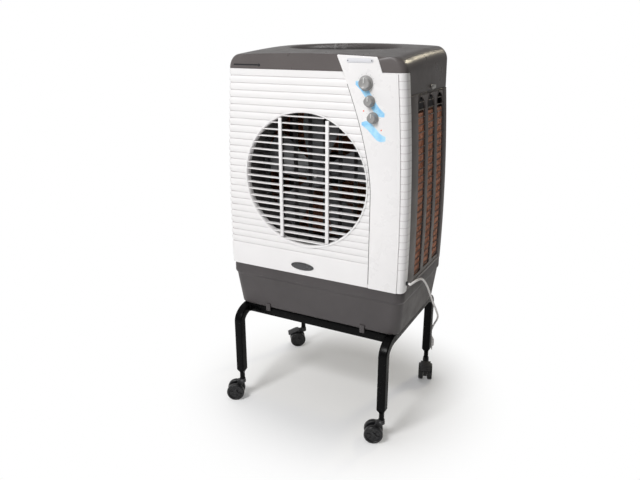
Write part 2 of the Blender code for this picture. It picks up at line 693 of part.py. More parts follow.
def water_distributor():
    """A trough over the three pads, open at the top."""
    outer, inner = 0.268, 0.240
    front, rear, inner_rear = RIGHT_WINDOW[0] + 0.002, 0.1765, 0.149
    low, high, wall = PAD_Z[1] + 0.004, PAD_Z[1] + 0.034, 0.003
    outline = trough_outline(outer, inner, front, rear, inner_rear)
    trough = plate("water_distributor", [outline], low, high, FACING_UP)
    channel = trough_outline(outer - wall, inner + wall, front + wall, rear - wall, inner_rear + wall)
    cut(trough, plate("channel", [channel], low + wall, high + 0.01, FACING_UP))
    paint(trough, BLACK_PLASTIC)


# ---- fan -------------------------------------------------------------------------------------
FAN_Y = -0.096
SHROUD_Y = -0.127
MOTOR_Y = (-0.045, 0.042)


def fan_shroud():
    outline = rounded_rectangle(0.232, 0.232, 0.02, (OPENING_X - 0.003, OPENING_Z), 2)
    hole = circle((OPENING_X, OPENING_Z), OPENING_RADIUS + 0.001, 40)[::-1]
    shroud = plate("fan_shroud", [outline, hole], -SHROUD_Y - 0.003, -SHROUD_Y, FACING_FRONT)
    inner, outer = OPENING_RADIUS, OPENING_RADIUS + 0.003
    profile = [(inner, 0), (outer, 0), (outer, 0.05), (inner, 0.05), (inner, 0)]
    start = SHROUD_Y + 0.0005
    duct = turned("duct", profile, (OPENING_X, start, OPENING_Z), (OPENING_X, start + 0.05, OPENING_Z), 40)
    join(shroud, duct)
    paint(shroud, DARK_GREY)


BLADE_STATIONS = [(0.037, 0.030, 50), (0.09, 0.046, 38), (0.145, 0.060, 28), (0.193, 0.066, 22)]
BLADE_SECTION = [(-1, 0), (-0.5, 0.0011), (0.5, 0.0011), (1, 0), (0.5, -0.0011), (-0.5, -0.0011)]


def fan_blade():
    """A thin blade whose chord widens and flattens towards the tip."""
    rings = []
    for radius, half_chord, pitch in BLADE_STATIONS:
        tilt = math.radians(pitch)
        sweep = 0.10 * (radius / 0.193) ** 2
        ring = []
        for along, thick in BLADE_SECTION:
            across = along * half_chord * math.cos(tilt) - thick * math.sin(tilt)
            depth = along * half_chord * math.sin(tilt) * 0.62 + thick * math.cos(tilt)
            depth += 0.004 * (1 - along**2)
            turn = across / radius + sweep
            ring.append((radius * math.sin(turn), depth, radius * math.cos(turn)))
        rings.append(ring)
    return split_twisted_faces(loft("blade", rings))


def on_fan_axis(y):
    return (OPENING_X, y, OPENING_Z)


def fan():
    """Five swept blades on a hub."""
    middle, half_hub = on_fan_axis(FAN_Y), 0.022
    rear, front = on_fan_axis(FAN_Y + half_hub), on_fan_axis(FAN_Y - half_hub)
    profile = [(0, 0), (0.030, 0), (0.038, 0.008), (0.040, 0.044), (0.034, 0.044), (0.032, 0.012), (0, 0.012)]
    hub = turned("fan", profile[::-1], front, rear, 30)
    join(hub, rod("boss", on_fan_axis(FAN_Y - 0.012), rear, 0.010, 16))
    for i in range(5):
        blade = fan_blade()
        blade.data.transform(Matrix.Translation(middle) @ Matrix.Rotation(math.radians(72 * i), 4, "Y"))
        join(hub, blade)
    cut(hub, rod("bore", on_fan_axis(FAN_Y - 0.03), on_fan_axis(FAN_Y + 0.03), 0.0044, 16))
    paint(move_origin(hub, middle), BLACK_PLASTIC)
    shaft = rod("fan_shaft", on_fan_axis(FAN_Y - 0.024), on_fan_axis(MOTOR_Y[0] + 0.03), 0.004, 16)
    paint(move_origin(shaft, middle), ZINC)


def fan_motor():
    front, rear = MOTOR_Y
    length, case = rear - front, 0.052
    profile = [(0, 0), (0.012, 0), (0.012, 0.006), (0.034, 0.010), (0.048, 0.018), (case, 0.020)]
    profile += [(case, length - 0.014), (0.047, length - 0.012), (0.034, length - 0.002)]
    profile += [(0.034, length), (0, length)]
    motor = turned("fan_motor", profile[::-1], on_fan_axis(front), on_fan_axis(rear), 20)
    cut(motor, rod("bore", on_fan_axis(front - 0.01), on_fan_axis(front + 0.034), 0.0045, 16))
    paint(motor, MOTOR_BLACK)


def motor_bracket():
    """A steel strap behind the motor, bent forward to two feet on the shroud."""
    steel, reach, foot_reach = 0.003, 0.2125, 0.2265
    rear = MOTOR_Y[1] + GAP
    foot = SHROUD_Y + 0.003 + GAP
    half = [(reach, rear + steel), (reach, foot + steel), (foot_reach, foot + steel), (foot_reach, foot)]
    half += [(reach - steel, foot), (reach - steel, rear)]
    outline = [(OPENING_X + x, y) for x, y in half] + [(OPENING_X - x, y) for x, y in half[::-1]]
    strap = plate("motor_bracket", [outline], OPENING_Z - 0.02, OPENING_Z + 0.02, FACING_UP)
    paint(strap, ZINC)


# ---- swing vanes -----------------------------------------------------------------------------
VANE_PIVOT_Y = -0.150
VANE_SPACING = 0.050
VANES = [OPENING_X + VANE_SPACING * i for i in range(-3, 4)]
SHELF_Z = 0.574
TAB_REACH = 0.019           # from a vane's pivot back to its link pin
LINK_Z = OPENING_Z - 0.065


VANE_RING = (OPENING_RADIUS - 0.0015, OPENING_RADIUS + 0.0050)     # its inner and outer radius
VANE_REACH = OPENING_RADIUS - 0.0085
PIN_REACH = OPENING_RADIUS + 0.0020


def louvre_frame():
    """The ring that carries the vanes, with a shelf for the swing motor."""
    front, rear = -0.171, SHROUD_Y - 0.0005
    depth = rear - front
    inner, outer = VANE_RING
    profile = [(inner, 0), (outer, 0), (outer, depth), (inner, depth), (inner, 0)]
    ring = turned("louvre_frame", profile, on_fan_axis(front), on_fan_axis(rear), 40)
    low, high = (OPENING_X - 0.03, front + 0.004, SHELF_Z), (OPENING_X + 0.03, rear - 0.004, 0.5895)
    join(ring, box("shelf", low, high))
    for x in VANES:
        cut(ring, rod("bore", (x, VANE_PIVOT_Y, 0.56), (x, VANE_PIVOT_Y, 1.02), 0.0024, 8))
    paint(ring, DARK_GREY)


def swing_vane(number, x):
    off = abs(x - OPENING_X)
    half = math.sqrt(VANE_REACH**2 - (off + 0.010) ** 2) - 0.001
    pin = math.sqrt(PIN_REACH**2 - off**2)
    chord, thick, edge = 0.0135, 0.0022, 0.0006     # half of each
    section = [(0, -chord), (thick, 0), (edge, chord), (-edge, chord), (-thick, 0)]
    outline = [(x + u, VANE_PIVOT_Y + v) for u, v in section]
    vane = plate(f"swing_vane_{number}", [outline], OPENING_Z - half, OPENING_Z + half, FACING_UP)
    low = 0.556 if x == OPENING_X else OPENING_Z - pin
    join(vane, rod("pin", (x, VANE_PIVOT_Y, low), (x, VANE_PIVOT_Y, OPENING_Z + pin), 0.0019, 8))
    tab_end = VANE_PIVOT_Y + TAB_REACH
    low = (x - 0.004, VANE_PIVOT_Y + 0.010, LINK_Z + 0.003)
    high = (x + 0.004, tab_end + 0.004, LINK_Z + 0.0055)
    join(vane, box("tab", low, high))
    cut(vane, rod("eye", (x, tab_end, LINK_Z), (x, tab_end, LINK_Z + 0.01), 0.0019, 8))
    paint(move_origin(vane, (x, VANE_PIVOT_Y, OPENING_Z)), DARK_GREY)


def vane_link_bar():
    y = VANE_PIVOT_Y + TAB_REACH
    low, high = (VANES[0] - 0.006, y - 0.0035, LINK_Z), (VANES[-1] + 0.006, y + 0.0035, LINK_Z + 0.0026)
    bar = box("vane_link_bar", low, high)
    for x in VANES:
        join(bar, rod("pin", (x, y, LINK_Z + 0.001), (x, y, LINK_Z + 0.009), 0.0015, 8))
    paint(move_origin(bar, (OPENING_X, y, LINK_Z)), DARK_GREY)


def swing_motor():
    """Under the ring's shelf, with the middle vane's long pin in it."""
    x, y = OPENING_X, VANE_PIVOT_Y
    low, high = 0.552, SHELF_Z - GAP
    motor = rod("swing_motor", (x, y, low), (x, y, high), 0.0205, 20)
    join(motor, box("ears", (x - 0.03, y - 0.005, high - 0.002), (x + 0.03, y + 0.005, high)))
    cut(motor, rod("bore", (x, y, low + 0.003), (x, y, high + 0.01), 0.0024, 10))
    paint(motor, ZINC)


# ---- controls --------------------------------------------------------------------------------
def controls():
    """Each knob pushes on to the shaft of a rotary switch behind the panel."""
    back = FRONT_Y - PANEL_PROUD - GAP
    inner = FRONT_Y + WALL + GAP
    depth, half_switch = 0.017, 0.015
    for name, (x, z, radius) in KNOBS.items():
        profile = [(0, 0), (radius, 0), (radius, 0.003), (radius * 0.86, 0.005)]
        profile += [(radius * 0.80, 0.016), (0, depth)]
        knob = turned(f"{name}_knob", profile[::-1], (x, back, z), (x, back - depth, z), 20)
        low, high = (x - 0.0015, back - 0.0185, z), (x + 0.0015, back - 0.012, z + radius * 0.76)
        join(knob, box("pointer", low, high))
        cut(knob, rod("bore", (x, back + 0.005, z), (x, back - 0.012, z), 0.0034, 12))
        paint(move_origin(knob, (x, back, z)), KNOB_GREY)
        low = (x - half_switch, inner, z - half_switch)
        high = (x + half_switch, inner + 0.020, z + half_switch)
        switch = box(f"{name}_switch", low, high)
        join(switch, rod("shaft", (x, inner + 0.002, z), (x, back - 0.0115, z), 0.003, 12))
        paint(switch, BLACK_PLASTIC)


# ---- power cord --------------------------------------------------------------------------------
CORD_RADIUS = 0.0034


def cord_gland():
    x = half_width(GLAND_Z)
    gland = rod("cord_gland", (x - 0.010, GLAND_Y, GLAND_Z), (x + 0.007, GLAND_Y, GLAND_Z), 0.0042, 16)
    join(gland, rod("flange", (x + 0.0006, GLAND_Y, GLAND_Z), (x + 0.003, GLAND_Y, GLAND_Z), 0.0068, 16))
    cut(gland, rod("bore", (x - 0.02, GLAND_Y, GLAND_Z), (x + 0.02, GLAND_Y, GLAND_Z), CORD_RADIUS + GAP, 16))
    paint(gland, BLACK_PLASTIC)


def power_cord():
    """Out of the panel's side, back along the cabinet and down behind it to its plug."""
    x = half_width(GLAND_Z)
    points = [(x + out, GLAND_Y, GLAND_Z) for out in (-0.016, 0, 0.009, 0.014)] + [(0.324, -0.148, 0.527)]
    points += [(0.324, -0.095, 0.514), (0.318, -0.035, 0.478), (0.312, 0.025, 0.430), (0.306, 0.100, 0.357)]
    points += [(0.301, 0.170, 0.293), (0.290, 0.233, 0.236), (0.272, 0.250, 0.195), (0.264, 0.251, 0.170)]
    points += [(0.264, 0.251, 0.160), (0.264, 0.251, 0.150)]
    paint(tube("power_cord", smooth_path(points, 3), CORD_RADIUS, 1), CORD_WHITE)
    power_plug(*points[-1])


def power_plug(x, y, z):
    profile = [(0, 0), (0.005, 0), (0.012, 0.014), (0.0125, 0.040), (0, 0.040)]
    plug = turned("power_plug", profile[::-1], (x, y, z - 0.0006), (x, y, z - 0.04), 16)
    for pin_x in (x - 0.006, x + 0.006):
        join(plug, rod("prong", (pin_x, y, z - 0.035), (pin_x, y, z - 0.058), 0.002, 10))
    paint(plug, CORD_WHITE)


# ---- stand -------------------------------------------------------------------------------------
RAIL_Y = 0.161              # the side rails run on into the legs, at LEG_X
RAIL_Z = STAND_TOP - TUBE / 2
SHOULDER_DROP = 0.036
LEG_FOOT = 0.100
SOCKET_FOOT = 0.0765
SOCKET_RADIUS = 0.0085


def square_section(size, chamfer):
    h, c = size / 2, size / 2 - chamfer
    return [(h, -c), (h, c), (c, h), (-c, h), (-h, c), (-h, -c), (-c, -h), (c, -h)]


def stand_leg(sign_x, sign_y):
    """On from the end of a side rail over a round shoulder, straight down, and in to a round socket."""
    x = sign_x * LEG_X
    foot = Vector((x, sign_y * LEG_Y, 0))
    places = [Vector((x, sign_y * RAIL_Y, RAIL_Z))]
    for degrees in (0, 22.5, 45, 67.5, 90):
        a = math.radians(degrees)
        out = RAIL_Y + (LEG_Y - RAIL_Y) * (0.10 + 0.90 * math.sin(a))
        places.append(Vector((x, sign_y * out, RAIL_Z - SHOULDER_DROP * (1 - math.cos(a)))))
    places.append(Vector((x, sign_y * LEG_Y, LEG_FOOT + 0.012)))
    across = Vector((1, 0, 0))
    section = square_section(TUBE - 2 * GAP, 0.003)
    rings = []
    for i, place in enumerate(places):
        along = (places[min(i + 1, len(places) - 1)] - places[max(i - 1, 0)]).normalized()
        if i >= len(places) - 2:
            along = Vector((0, 0, -1))
        up = along.cross(across)
        rings.append([place + across * u + up * v for u, v in section])
    for z in (LEG_FOOT, SOCKET_FOOT):
        outwards = [Vector((point.x - foot.x, point.y - foot.y, 0)).normalized() for point in rings[-1]]
        rings.append([Vector((foot.x, foot.y, z)) + direction * SOCKET_RADIUS for direction in outwards])
    leg = loft("leg", rings)
    return cut(leg, rod("bore", (foot.x, foot.y, 0.07), (foot.x, foot.y, 0.15), 0.0056, 12))


def stand_frame():
    """One weldment: a ring of square tube, and four legs that bow outwards."""
    half = TUBE / 2
    outer = rounded_rectangle(LEG_X + half, RAIL_Y + half, 0.003, (0, 0), 1)
    inner = rounded_rectangle(LEG_X - half, RAIL_Y - half, 0.002, (0, 0), 1)[::-1]
    frame = plate("stand_frame", [outer, inner], STAND_TOP - TUBE, STAND_TOP, FACING_UP)
    for sign_x in (-1, 1):
        for sign_y in (-1, 1):
            join(frame, stand_leg(sign_x, sign_y))
    paint(frame, BLACK_STEEL)


# ---- casters -----------------------------------------------------------------------------------
TRAIL = 0.024
CASTERS = {  # name: side, front or rear, and the way the wheels trail, in degrees
    "front_left": (-1, -1, -152),
    "front_right": (1, -1, -158),
    "rear_left": (-1, 1, -145),
    "rear_right": (1, 1, -72),
}
WEB = 0.0065                # half the housing's thickness between the wheels


def place_caster(obj, name, local_origin):
    """From the caster's own frame, where the wheels trail along +X, to its leg."""
    sign_x, sign_y, degrees = CASTERS[name]
    turn = Matrix.Rotation(math.radians(degrees), 4, "Z")
    place = Matrix.Translation((sign_x * LEG_X, sign_y * LEG_Y, 0)) @ turn
    obj.data.transform(place)
    return move_origin(obj, place @ Vector(local_origin))


LEVER_PIVOT = (0.012, 0.066)        # x and z in the caster's own frame


def across_caster(name, x, z, half_y, radius, segments):
    """A round bar along the axle's direction, as long to one side as to the other."""
    return rod(name, (x, -half_y, z), (x, half_y, z), radius, segments)


def caster_housing(name):
    housing = rod(f"caster_housing_{name}", (0, 0, 0.060), (0, 0, 0.075), 0.011, 14)
    join(housing, rod("stem", (0, 0, 0.07), (0, 0, 0.128), 0.005, 10))
    join(housing, box("arm", (0.002, -WEB, 0.034), (0.0165, WEB, 0.0705)))
    join(housing, across_caster("web", TRAIL, WHEEL_RADIUS, WEB - 0.0002, 0.019, 16))
    cut(housing, across_caster("axle_bore", TRAIL, WHEEL_RADIUS, 0.02, 0.0045, 10))
    cut(housing, across_caster("lever_bore", *LEVER_PIVOT, 0.02, 0.0018, 8))
    paint(place_caster(housing, name, (0, 0, 0.075)), BLACK_PLASTIC)


def caster_wheels(name):
    """Two wheels fixed to one axle; each wheel's rim has a facet flat on the floor."""
    rim = WHEEL_RADIUS / math.cos(math.pi / 20)
    far, near = Vector((TRAIL, 0.0245, WHEEL_RADIUS)), Vector((TRAIL, 0.0075, WHEEL_RADIUS))
    mirror = Vector((1, -1, 1))
    wheels = rod(f"caster_wheels_{name}", far * mirror, near * mirror, rim, 20)
    join(wheels, across_caster("axle", TRAIL, WHEEL_RADIUS, 0.0095, 0.004, 10))
    join(wheels, rod("wheel", near, far, rim, 20))
    paint(place_caster(wheels, name, (TRAIL, 0, WHEEL_RADIUS)), BLACK_PLASTIC)


def brake_lever(name):
    """A foot pedal over the wheels, on a pin through the housing."""
    outline = [(0.0192, 0.0645), (0.0192, 0.0685), (0.030, 0.0685), (0.0625, 0.0545)]
    outline += [(0.0610, 0.0510), (0.030, 0.0640)]
    lever = plate(f"brake_lever_{name}", [outline], -0.018, 0.018, FACING_FRONT)
    for side in (-1, 1):
        near, far = sorted((side * 0.0072, side * 0.0105))
        join(lever, box("ear", (0.0085, near, 0.0632), (0.022, far, 0.0688)))
    join(lever, across_caster("pin", *LEVER_PIVOT, 0.009, 0.0014, 8))
    paint(place_caster(lever, name, (LEVER_PIVOT[0], 0, LEVER_PIVOT[1])), DARK_GREY)


# ---- the whole object ----------------------------------------------------------------------
front_panel()
front_grille()
control_panel()
nameplate()
badge()
body_frame()
top_hood()
side_pad_frame("right_pad_frame", 1)
side_pad_frame("left_pad_frame", -1)
rear_pad_frame()
pads()
catches()
water_tank()
drain_plug()
float_valve()
water_pump()
pump_hose()
water_distributor()
fan_shroud()
fan()
fan_motor()
motor_bracket()
louvre_frame()
for vane_number, vane_x in enumerate(VANES, 1):
    swing_vane(vane_number, vane_x)
vane_link_bar()
swing_motor()
controls()
cord_gland()
power_cord()
stand_frame()
for caster_name in CASTERS:
    caster_housing(caster_name)
    caster_wheels(caster_name)
for braked in ("rear_left", "rear_right"):
    brake_lever(braked)
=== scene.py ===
"""Looks of the evaporative cooler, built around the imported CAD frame. Metres, +Z up.

The air grille faces -Y and the knobs are on the +X side. Every piece is modelled in place, in the
frame's own coordinates, and then rides on a CAD body.
"""
import json
import math
import random

import bmesh
import bpy
from mathutils import Matrix, Vector, noise


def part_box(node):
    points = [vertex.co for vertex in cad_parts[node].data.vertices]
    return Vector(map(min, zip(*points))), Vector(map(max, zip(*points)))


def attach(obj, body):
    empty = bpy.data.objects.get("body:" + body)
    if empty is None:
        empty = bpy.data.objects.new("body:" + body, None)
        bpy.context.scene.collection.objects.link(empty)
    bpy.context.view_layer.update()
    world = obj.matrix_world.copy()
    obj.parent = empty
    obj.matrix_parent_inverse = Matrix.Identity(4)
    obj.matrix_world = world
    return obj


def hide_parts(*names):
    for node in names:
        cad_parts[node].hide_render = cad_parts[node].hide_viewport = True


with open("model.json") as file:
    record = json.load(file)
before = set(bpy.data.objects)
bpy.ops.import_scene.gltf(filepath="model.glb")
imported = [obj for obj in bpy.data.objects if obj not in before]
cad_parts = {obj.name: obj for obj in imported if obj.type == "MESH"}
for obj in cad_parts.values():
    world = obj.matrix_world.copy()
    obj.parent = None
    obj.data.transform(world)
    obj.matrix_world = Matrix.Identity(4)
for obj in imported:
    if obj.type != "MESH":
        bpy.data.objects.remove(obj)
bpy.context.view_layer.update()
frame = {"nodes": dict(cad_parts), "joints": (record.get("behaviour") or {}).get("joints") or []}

JOINTS = {joint["name"]: joint for joint in frame["joints"]}

# ---- driving dimensions, from the frame where it holds them ----------------------------------
PANEL_LOW, PANEL_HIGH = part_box("front_panel")
FRONT_Y, RETURN_Y = PANEL_LOW.y, PANEL_HIGH.y
PANEL_BOTTOM, PANEL_TOP = PANEL_LOW.z, PANEL_HIGH.z
REAR_Y = -FRONT_Y
BODY_DEPTH = REAR_Y - FRONT_Y
BODY_HALF_WIDTH = 0.303
WIDEST_Z = 0.64
SIDE_ARC_RADIUS = 5.125
CORNER = 0.018
WALL = 0.0025

GRILLE_LOW, GRILLE_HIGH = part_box("front_grille")
OPENING_X = (GRILLE_LOW.x + GRILLE_HIGH.x) / 2
OPENING_Z = (GRILLE_LOW.z + GRILLE_HIGH.z) / 2
OPENING_RADIUS = (GRILLE_HIGH.x - GRILLE_LOW.x) / 2
GRILLE_REAR = GRILLE_HIGH.y
PITCH = 0.021               # of the ribs, the grille's slats and the louvres
RIB_TOP = 1.094
RIB_COUNT = 26
RIB_DEPTH = 0.0032

HOOD_LOW, HOOD_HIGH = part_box("top_hood")
SKIRT_BOTTOM = HOOD_LOW.z
CREASE_Z = 1.160            # where the hood's front face turns into its roof
ROOF_RISE = HOOD_HIGH.z - CREASE_Z
HOOD_REAR = REAR_Y - 0.002
HOOD_END_RADIUS = 0.02
HOOD_SHOULDER = (0.036, 0.042)      # across and up
HOOD_WALL = 0.003
HOOD_SLOT = (-0.2155, 1.1255)       # middle x and z
HOOD_SLOT_HALF = 0.043
DISH = (0.0, 0.03, 0.19, 0.125)     # middle x, middle y, half length, half width
DISH_DEPTH = 0.016

FASCIA_LOW, FASCIA_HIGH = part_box("control_panel")
COLUMN_X = 0.193
LEAN_FROM = 0.78
LEAN_REACH = 0.111

SIDE_WINDOW = (-0.101, 0.141)
REAR_WINDOW = (-0.245, 0.245)
WINDOW_Z = (0.505, 1.052)
FRAME_WALL = 0.012
PAD_FRAME_INSET = 0.002
PAD_FRAME_THICKNESS = 0.006
PAD_INSET = PAD_FRAME_INSET + PAD_FRAME_THICKNESS + 0.001
PAD_THICKNESS = 0.028
COLUMN_FOOT = 0.517
COLUMN_TOP = 1.045
COLUMN_BAR = 0.026
SIDE_COLUMNS = (3, 0.060, 0.004)    # how many, how wide, from the frame's edge to the first
REAR_COLUMNS = (4, 0.099, 0.007)
SHEET_BAND = 0.012
MAT_DEPTH = PAD_FRAME_INSET + 0.0036     # the mat is pressed forward into the openings
MAT_ROWS = 72

GRILLE_SLATS = 9            # above and below the middle one
GRILLE_BAR_X = 0.078        # from the middle to each upright bar
KNOB_RIDGES = 28
FAN_BLADES = 5
VANE_RING = (0.203, 0.2095)
VANE_REACH = 0.196
VANE_SHELF = (0.574, 0.5895)

COLLAR_Z = 0.450            # where the tank steps out to its collar
DRAIN_RADIUS = 0.0083
LUG_X = 0.170               # the tank's lugs, which hook over the cross rails
LUG_Y = (0.1758, 0.1815)
LUG_Z = (0.336, 0.362)

TUBE = 0.028
STAND_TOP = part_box("stand_frame")[1].z
TANK_BOTTOM = STAND_TOP + 0.0004
RAIL_Y = 0.161
RAIL_Z = STAND_TOP - TUBE / 2
SHOULDER_DROP = 0.036
LEG_FOOT = 0.100
LEG_X, LEG_Y = (abs(value) for value in JOINTS["front_left_swivel"]["pos_m"][:2])
SOCKET_RADIUS = 0.0085

CASTERS = ("front_left", "front_right", "rear_left", "rear_right")
TRAIL = 0.024
WHEEL_RADIUS = JOINTS["front_left_roll"]["pos_m"][2]
WEB = 0.0065                # half the thickness of what stands between a caster's wheels

# How a flat outline and its thickness lie in the world. Seen from the front, depth counts against y.
FACING_FRONT = Matrix(((1, 0, 0, 0), (0, 0, -1, 0), (0, 1, 0, 0), (0, 0, 0, 1)))
FACING_RIGHT = Matrix(((0, 0, 1, 0), (1, 0, 0, 0), (0, 1, 0, 0), (0, 0, 0, 1)))
FACING_UP = Matrix.Identity(4)


def half_width(z):
    """Half the cabinet's width at a height: the sides are one shallow arc."""
    return BODY_HALF_WIDTH - (z - WIDEST_Z) ** 2 / (2 * SIDE_ARC_RADIUS)


def divider(z):
    """The inner edge of the control fascia: upright low down, leaning to the middle higher up."""
    return COLUMN_X - LEAN_REACH * (max(0.0, z - LEAN_FROM) / (CREASE_Z - LEAN_FROM)) ** 1.6


def blend_step(low, high, value):
    """0 below low, 1 above high, smooth between."""
    t = min(1.0, max(0.0, (value - low) / (high - low)))
    return t * t * (3 - 2 * t)


# ---- modelling tools ----------------------------------------------------------------------------
def add_object(name, mesh):
    obj = bpy.data.objects.new(name, mesh)
    bpy.context.scene.collection.objects.link(obj)
    return obj


def from_bmesh(name, shape, turn_faces_out=True):
    if turn_faces_out:
        bmesh.ops.recalc_face_normals(shape, faces=shape.faces)
    mesh = bpy.data.meshes.new(name)
    shape.to_mesh(mesh)
    shape.free()
    return add_object(name, mesh)


def apply_modifiers(obj):
    graph = bpy.context.evaluated_depsgraph_get()
    mesh = bpy.data.meshes.new_from_object(obj.evaluated_get(graph))
    obj.modifiers.clear()
    obj.data = mesh
    return obj


def cut(target, *tools):
    """Takes the tools away from the target."""
    for tool in tools:
        modifier = target.modifiers.new("cut", "BOOLEAN")
        modifier.operation = "DIFFERENCE"
        modifier.solver = "EXACT"
        modifier.object = tool
        apply_modifiers(target)
        bpy.data.objects.remove(tool)
    return target


def gather(name, pieces):
    """Several closed forms as one object."""
    shape = bmesh.new()
    for piece in pieces:
        shape.from_mesh(piece.data)
        bpy.data.objects.remove(piece)
    return from_bmesh(name, shape, False)


def round_edges(obj, width, angle):
    """Rounds the edges that are sharper than an angle in degrees."""
    modifier = obj.modifiers.new("edges", "BEVEL")
    modifier.width = width
    modifier.segments = 2
    modifier.limit_method = "ANGLE"
    modifier.angle_limit = math.radians(angle)


def box(name, low, high, radius=0.0):
    size = Vector(high) - Vector(low)
    middle = (Vector(high) + Vector(low)) / 2
    shape = bmesh.new()
    bmesh.ops.create_cube(shape, size=1.0, matrix=Matrix.Translation(middle) @ Matrix.Diagonal((*size, 1)))
    obj = from_bmesh(name, shape)
    if radius:
        round_edges(obj, radius, 35)
        apply_modifiers(obj)
    return obj


def rod(name, start, end, radius, segments, radius_end=None):
    start, end = Vector(start), Vector(end)
    along = end - start
    place = Matrix.Translation((start + end) / 2) @ along.to_track_quat("Z", "Y").to_matrix().to_4x4()
    ends = {"radius1": radius, "radius2": radius if radius_end is None else radius_end}
    shape = bmesh.new()
    bmesh.ops.create_cone(shape, cap_ends=True, segments=segments, depth=along.length, matrix=place, **ends)
    return from_bmesh(name, shape)


def loft(name, rings, ends="cap"):
    """A closed body through rings with the same number of points.

    ends is cap for a disc-like end, strip for a ring that runs out along one side of a wall and
    back along the other, or loop where the last ring joins the first.
    """
    shape = bmesh.new()
    rows = [[shape.verts.new(point) for point in ring] for ring in rings]
    count = len(rows[0])
    pairs = list(zip(rows, rows[1:]))
    if ends == "loop":
        pairs.append((rows[-1], rows[0]))
    for lower, upper in pairs:
        for i in range(count):
            shape.faces.new((lower[i], lower[(i + 1) % count], upper[(i + 1) % count], upper[i]))
    for row in (rows[0], rows[-1]) if ends != "loop" else ():
        if ends == "strip":
            for i in range(count // 2 - 1):
                shape.faces.new((row[i], row[i + 1], row[count - 2 - i], row[count - 1 - i]))
        else:
            shape.faces.new(row)
    return from_bmesh(name, shape)


def turned(name, profile, start, end, steps=64, ripple=None):
    """A profile of (radius, distance) points turned about the axis from start towards end.

    A profile that starts and ends on the axis is a solid, and any other is a ring. ripple(angle,
    radius, distance) gives a factor for the radius.
    """
    start = Vector(start)
    turn = (Vector(end) - start).to_track_quat("Z", "Y").to_matrix()
    shape = bmesh.new()
    rows = []
    for radius, distance in profile:
        if radius < 1e-6:
            rows.append([shape.verts.new(start + turn @ Vector((0, 0, distance)))])
            continue
        row = []
        for i in range(steps):
            angle = 2 * math.pi * i / steps
            r = radius * (ripple(angle, radius, distance) if ripple else 1)
            place = Vector((r * math.cos(angle), r * math.sin(angle), distance))
            row.append(shape.verts.new(start + turn @ place))
        rows.append(row)
    closed = len(rows[0]) > 1 and len(rows[-1]) > 1
    pairs = list(zip(rows, rows[1:])) + ([(rows[-1], rows[0])] if closed else [])
    for lower, upper in pairs:
        for i in range(steps):
            j = (i + 1) % steps
            below, above = len(lower), len(upper)
            ring = [lower[i % below], lower[j % below], upper[j % above], upper[i % above]]
            corners = list(dict.fromkeys(ring))
            if len(corners) > 2:
                shape.faces.new(corners)
    return from_bmesh(name, shape)


def round_over(profile, radius, steps):
    """Rounds an open profile's corners, but not its two ends."""
    points = [Vector(point) for point in profile]
    result = [points[0]]
    for before, corner, after in zip(points, points[1:], points[2:]):
        to_before, to_after = before - corner, after - corner
        reach = min(radius, to_before.length * 0.45, to_after.length * 0.45)
        first, last = corner + to_before.normalized() * reach, corner + to_after.normalized() * reach
        for i in range(steps + 1):
            t = i / steps
            result.append(first * (1 - t) ** 2 + corner * 2 * t * (1 - t) + last * t**2)
    result.append(points[-1])
    return [tuple(point) for point in result]


def arc(middle, radius, start_degrees, end_degrees, steps):
    """Points along an arc, both ends included."""
    step = (end_degrees - start_degrees) / steps
    angles = [math.radians(start_degrees + step * i) for i in range(steps + 1)]
    return [(middle[0] + radius * math.cos(a), middle[1] + radius * math.sin(a)) for a in angles]


def rounded_rectangle(half_x, half_y, radius, middle=(0, 0), steps=8):
    points = []
    for sign_x, sign_y, start in ((1, -1, -90), (1, 1, 0), (-1, 1, 90), (-1, -1, 180)):
        corner = (middle[0] + sign_x * (half_x - radius), middle[1] + sign_y * (half_y - radius))
        points += arc(corner, radius, start, start + 90, steps)
    return points


def plate(name, loops, low, high, face, rounding=0.0):
    """A flat outline with its holes, from low to high along the face's thickness direction."""
    curve = bpy.data.curves.new(name, "CURVE")
    curve.dimensions = "2D"
    curve.fill_mode = "BOTH"
    curve.extrude = (high - low) / 2 - rounding
    curve.bevel_depth = rounding
    curve.bevel_resolution = 2
    curve.offset = -rounding
    for loop in loops:
        spline = curve.splines.new("POLY")
        spline.points.add(len(loop) - 1)
        for point, (x, y) in zip(spline.points, loop):
            point.co = (x, y, 0, 1)
        spline.use_cyclic_u = True
    guide = add_object(name + "_guide", curve)
    graph = bpy.context.evaluated_depsgraph_get()
    mesh = bpy.data.meshes.new_from_object(guide.evaluated_get(graph))
    bpy.data.objects.remove(guide)
    shape = bmesh.new()
    shape.from_mesh(mesh)
    bmesh.ops.remove_doubles(shape, verts=shape.verts, dist=0.00001)
    shape.transform(face @ Matrix.Translation((0, 0, (low + high) / 2)))
    return from_bmesh(name, shape)


def smooth_path(points, steps):
    """A curve through the points, as short straight runs (Catmull-Rom)."""
    points = [Vector(point) for point in points]
    ends = [2 * points[0] - points[1], *points, 2 * points[-1] - points[-2]]
    path = []
    for before, start, end, after in zip(ends, ends[1:], ends[2:], ends[3:]):
        for i in range(steps):
            t = i / steps
            bend = 2 * before - 5 * start + 4 * end - after
            twist = 3 * start - before - 3 * end + after
            path.append(0.5 * (2 * start + (end - before) * t + bend * t**2 + twist * t**3))
    return path + [points[-1]]


def tube(name, path, radius, steps):
    """A round wire, hose or cord along a path, carried round its bends without twisting."""
    last = len(path) - 1
    side = Vector((1, 0, 0)) if abs((path[1] - path[0]).normalized().x) < 0.8 else Vector((0, 1, 0))
    rings = []
    for i, place in enumerate(path):
        along = (path[min(i + 1, last)] - path[max(i - 1, 0)]).normalized()
        side = (side - along * side.dot(along)).normalized()
        up = along.cross(side)
        turns = [2 * math.pi * j / steps for j in range(steps)]
        rings.append([place + (side * math.cos(a) + up * math.sin(a)) * radius for a in turns])
    return loft(name, rings)


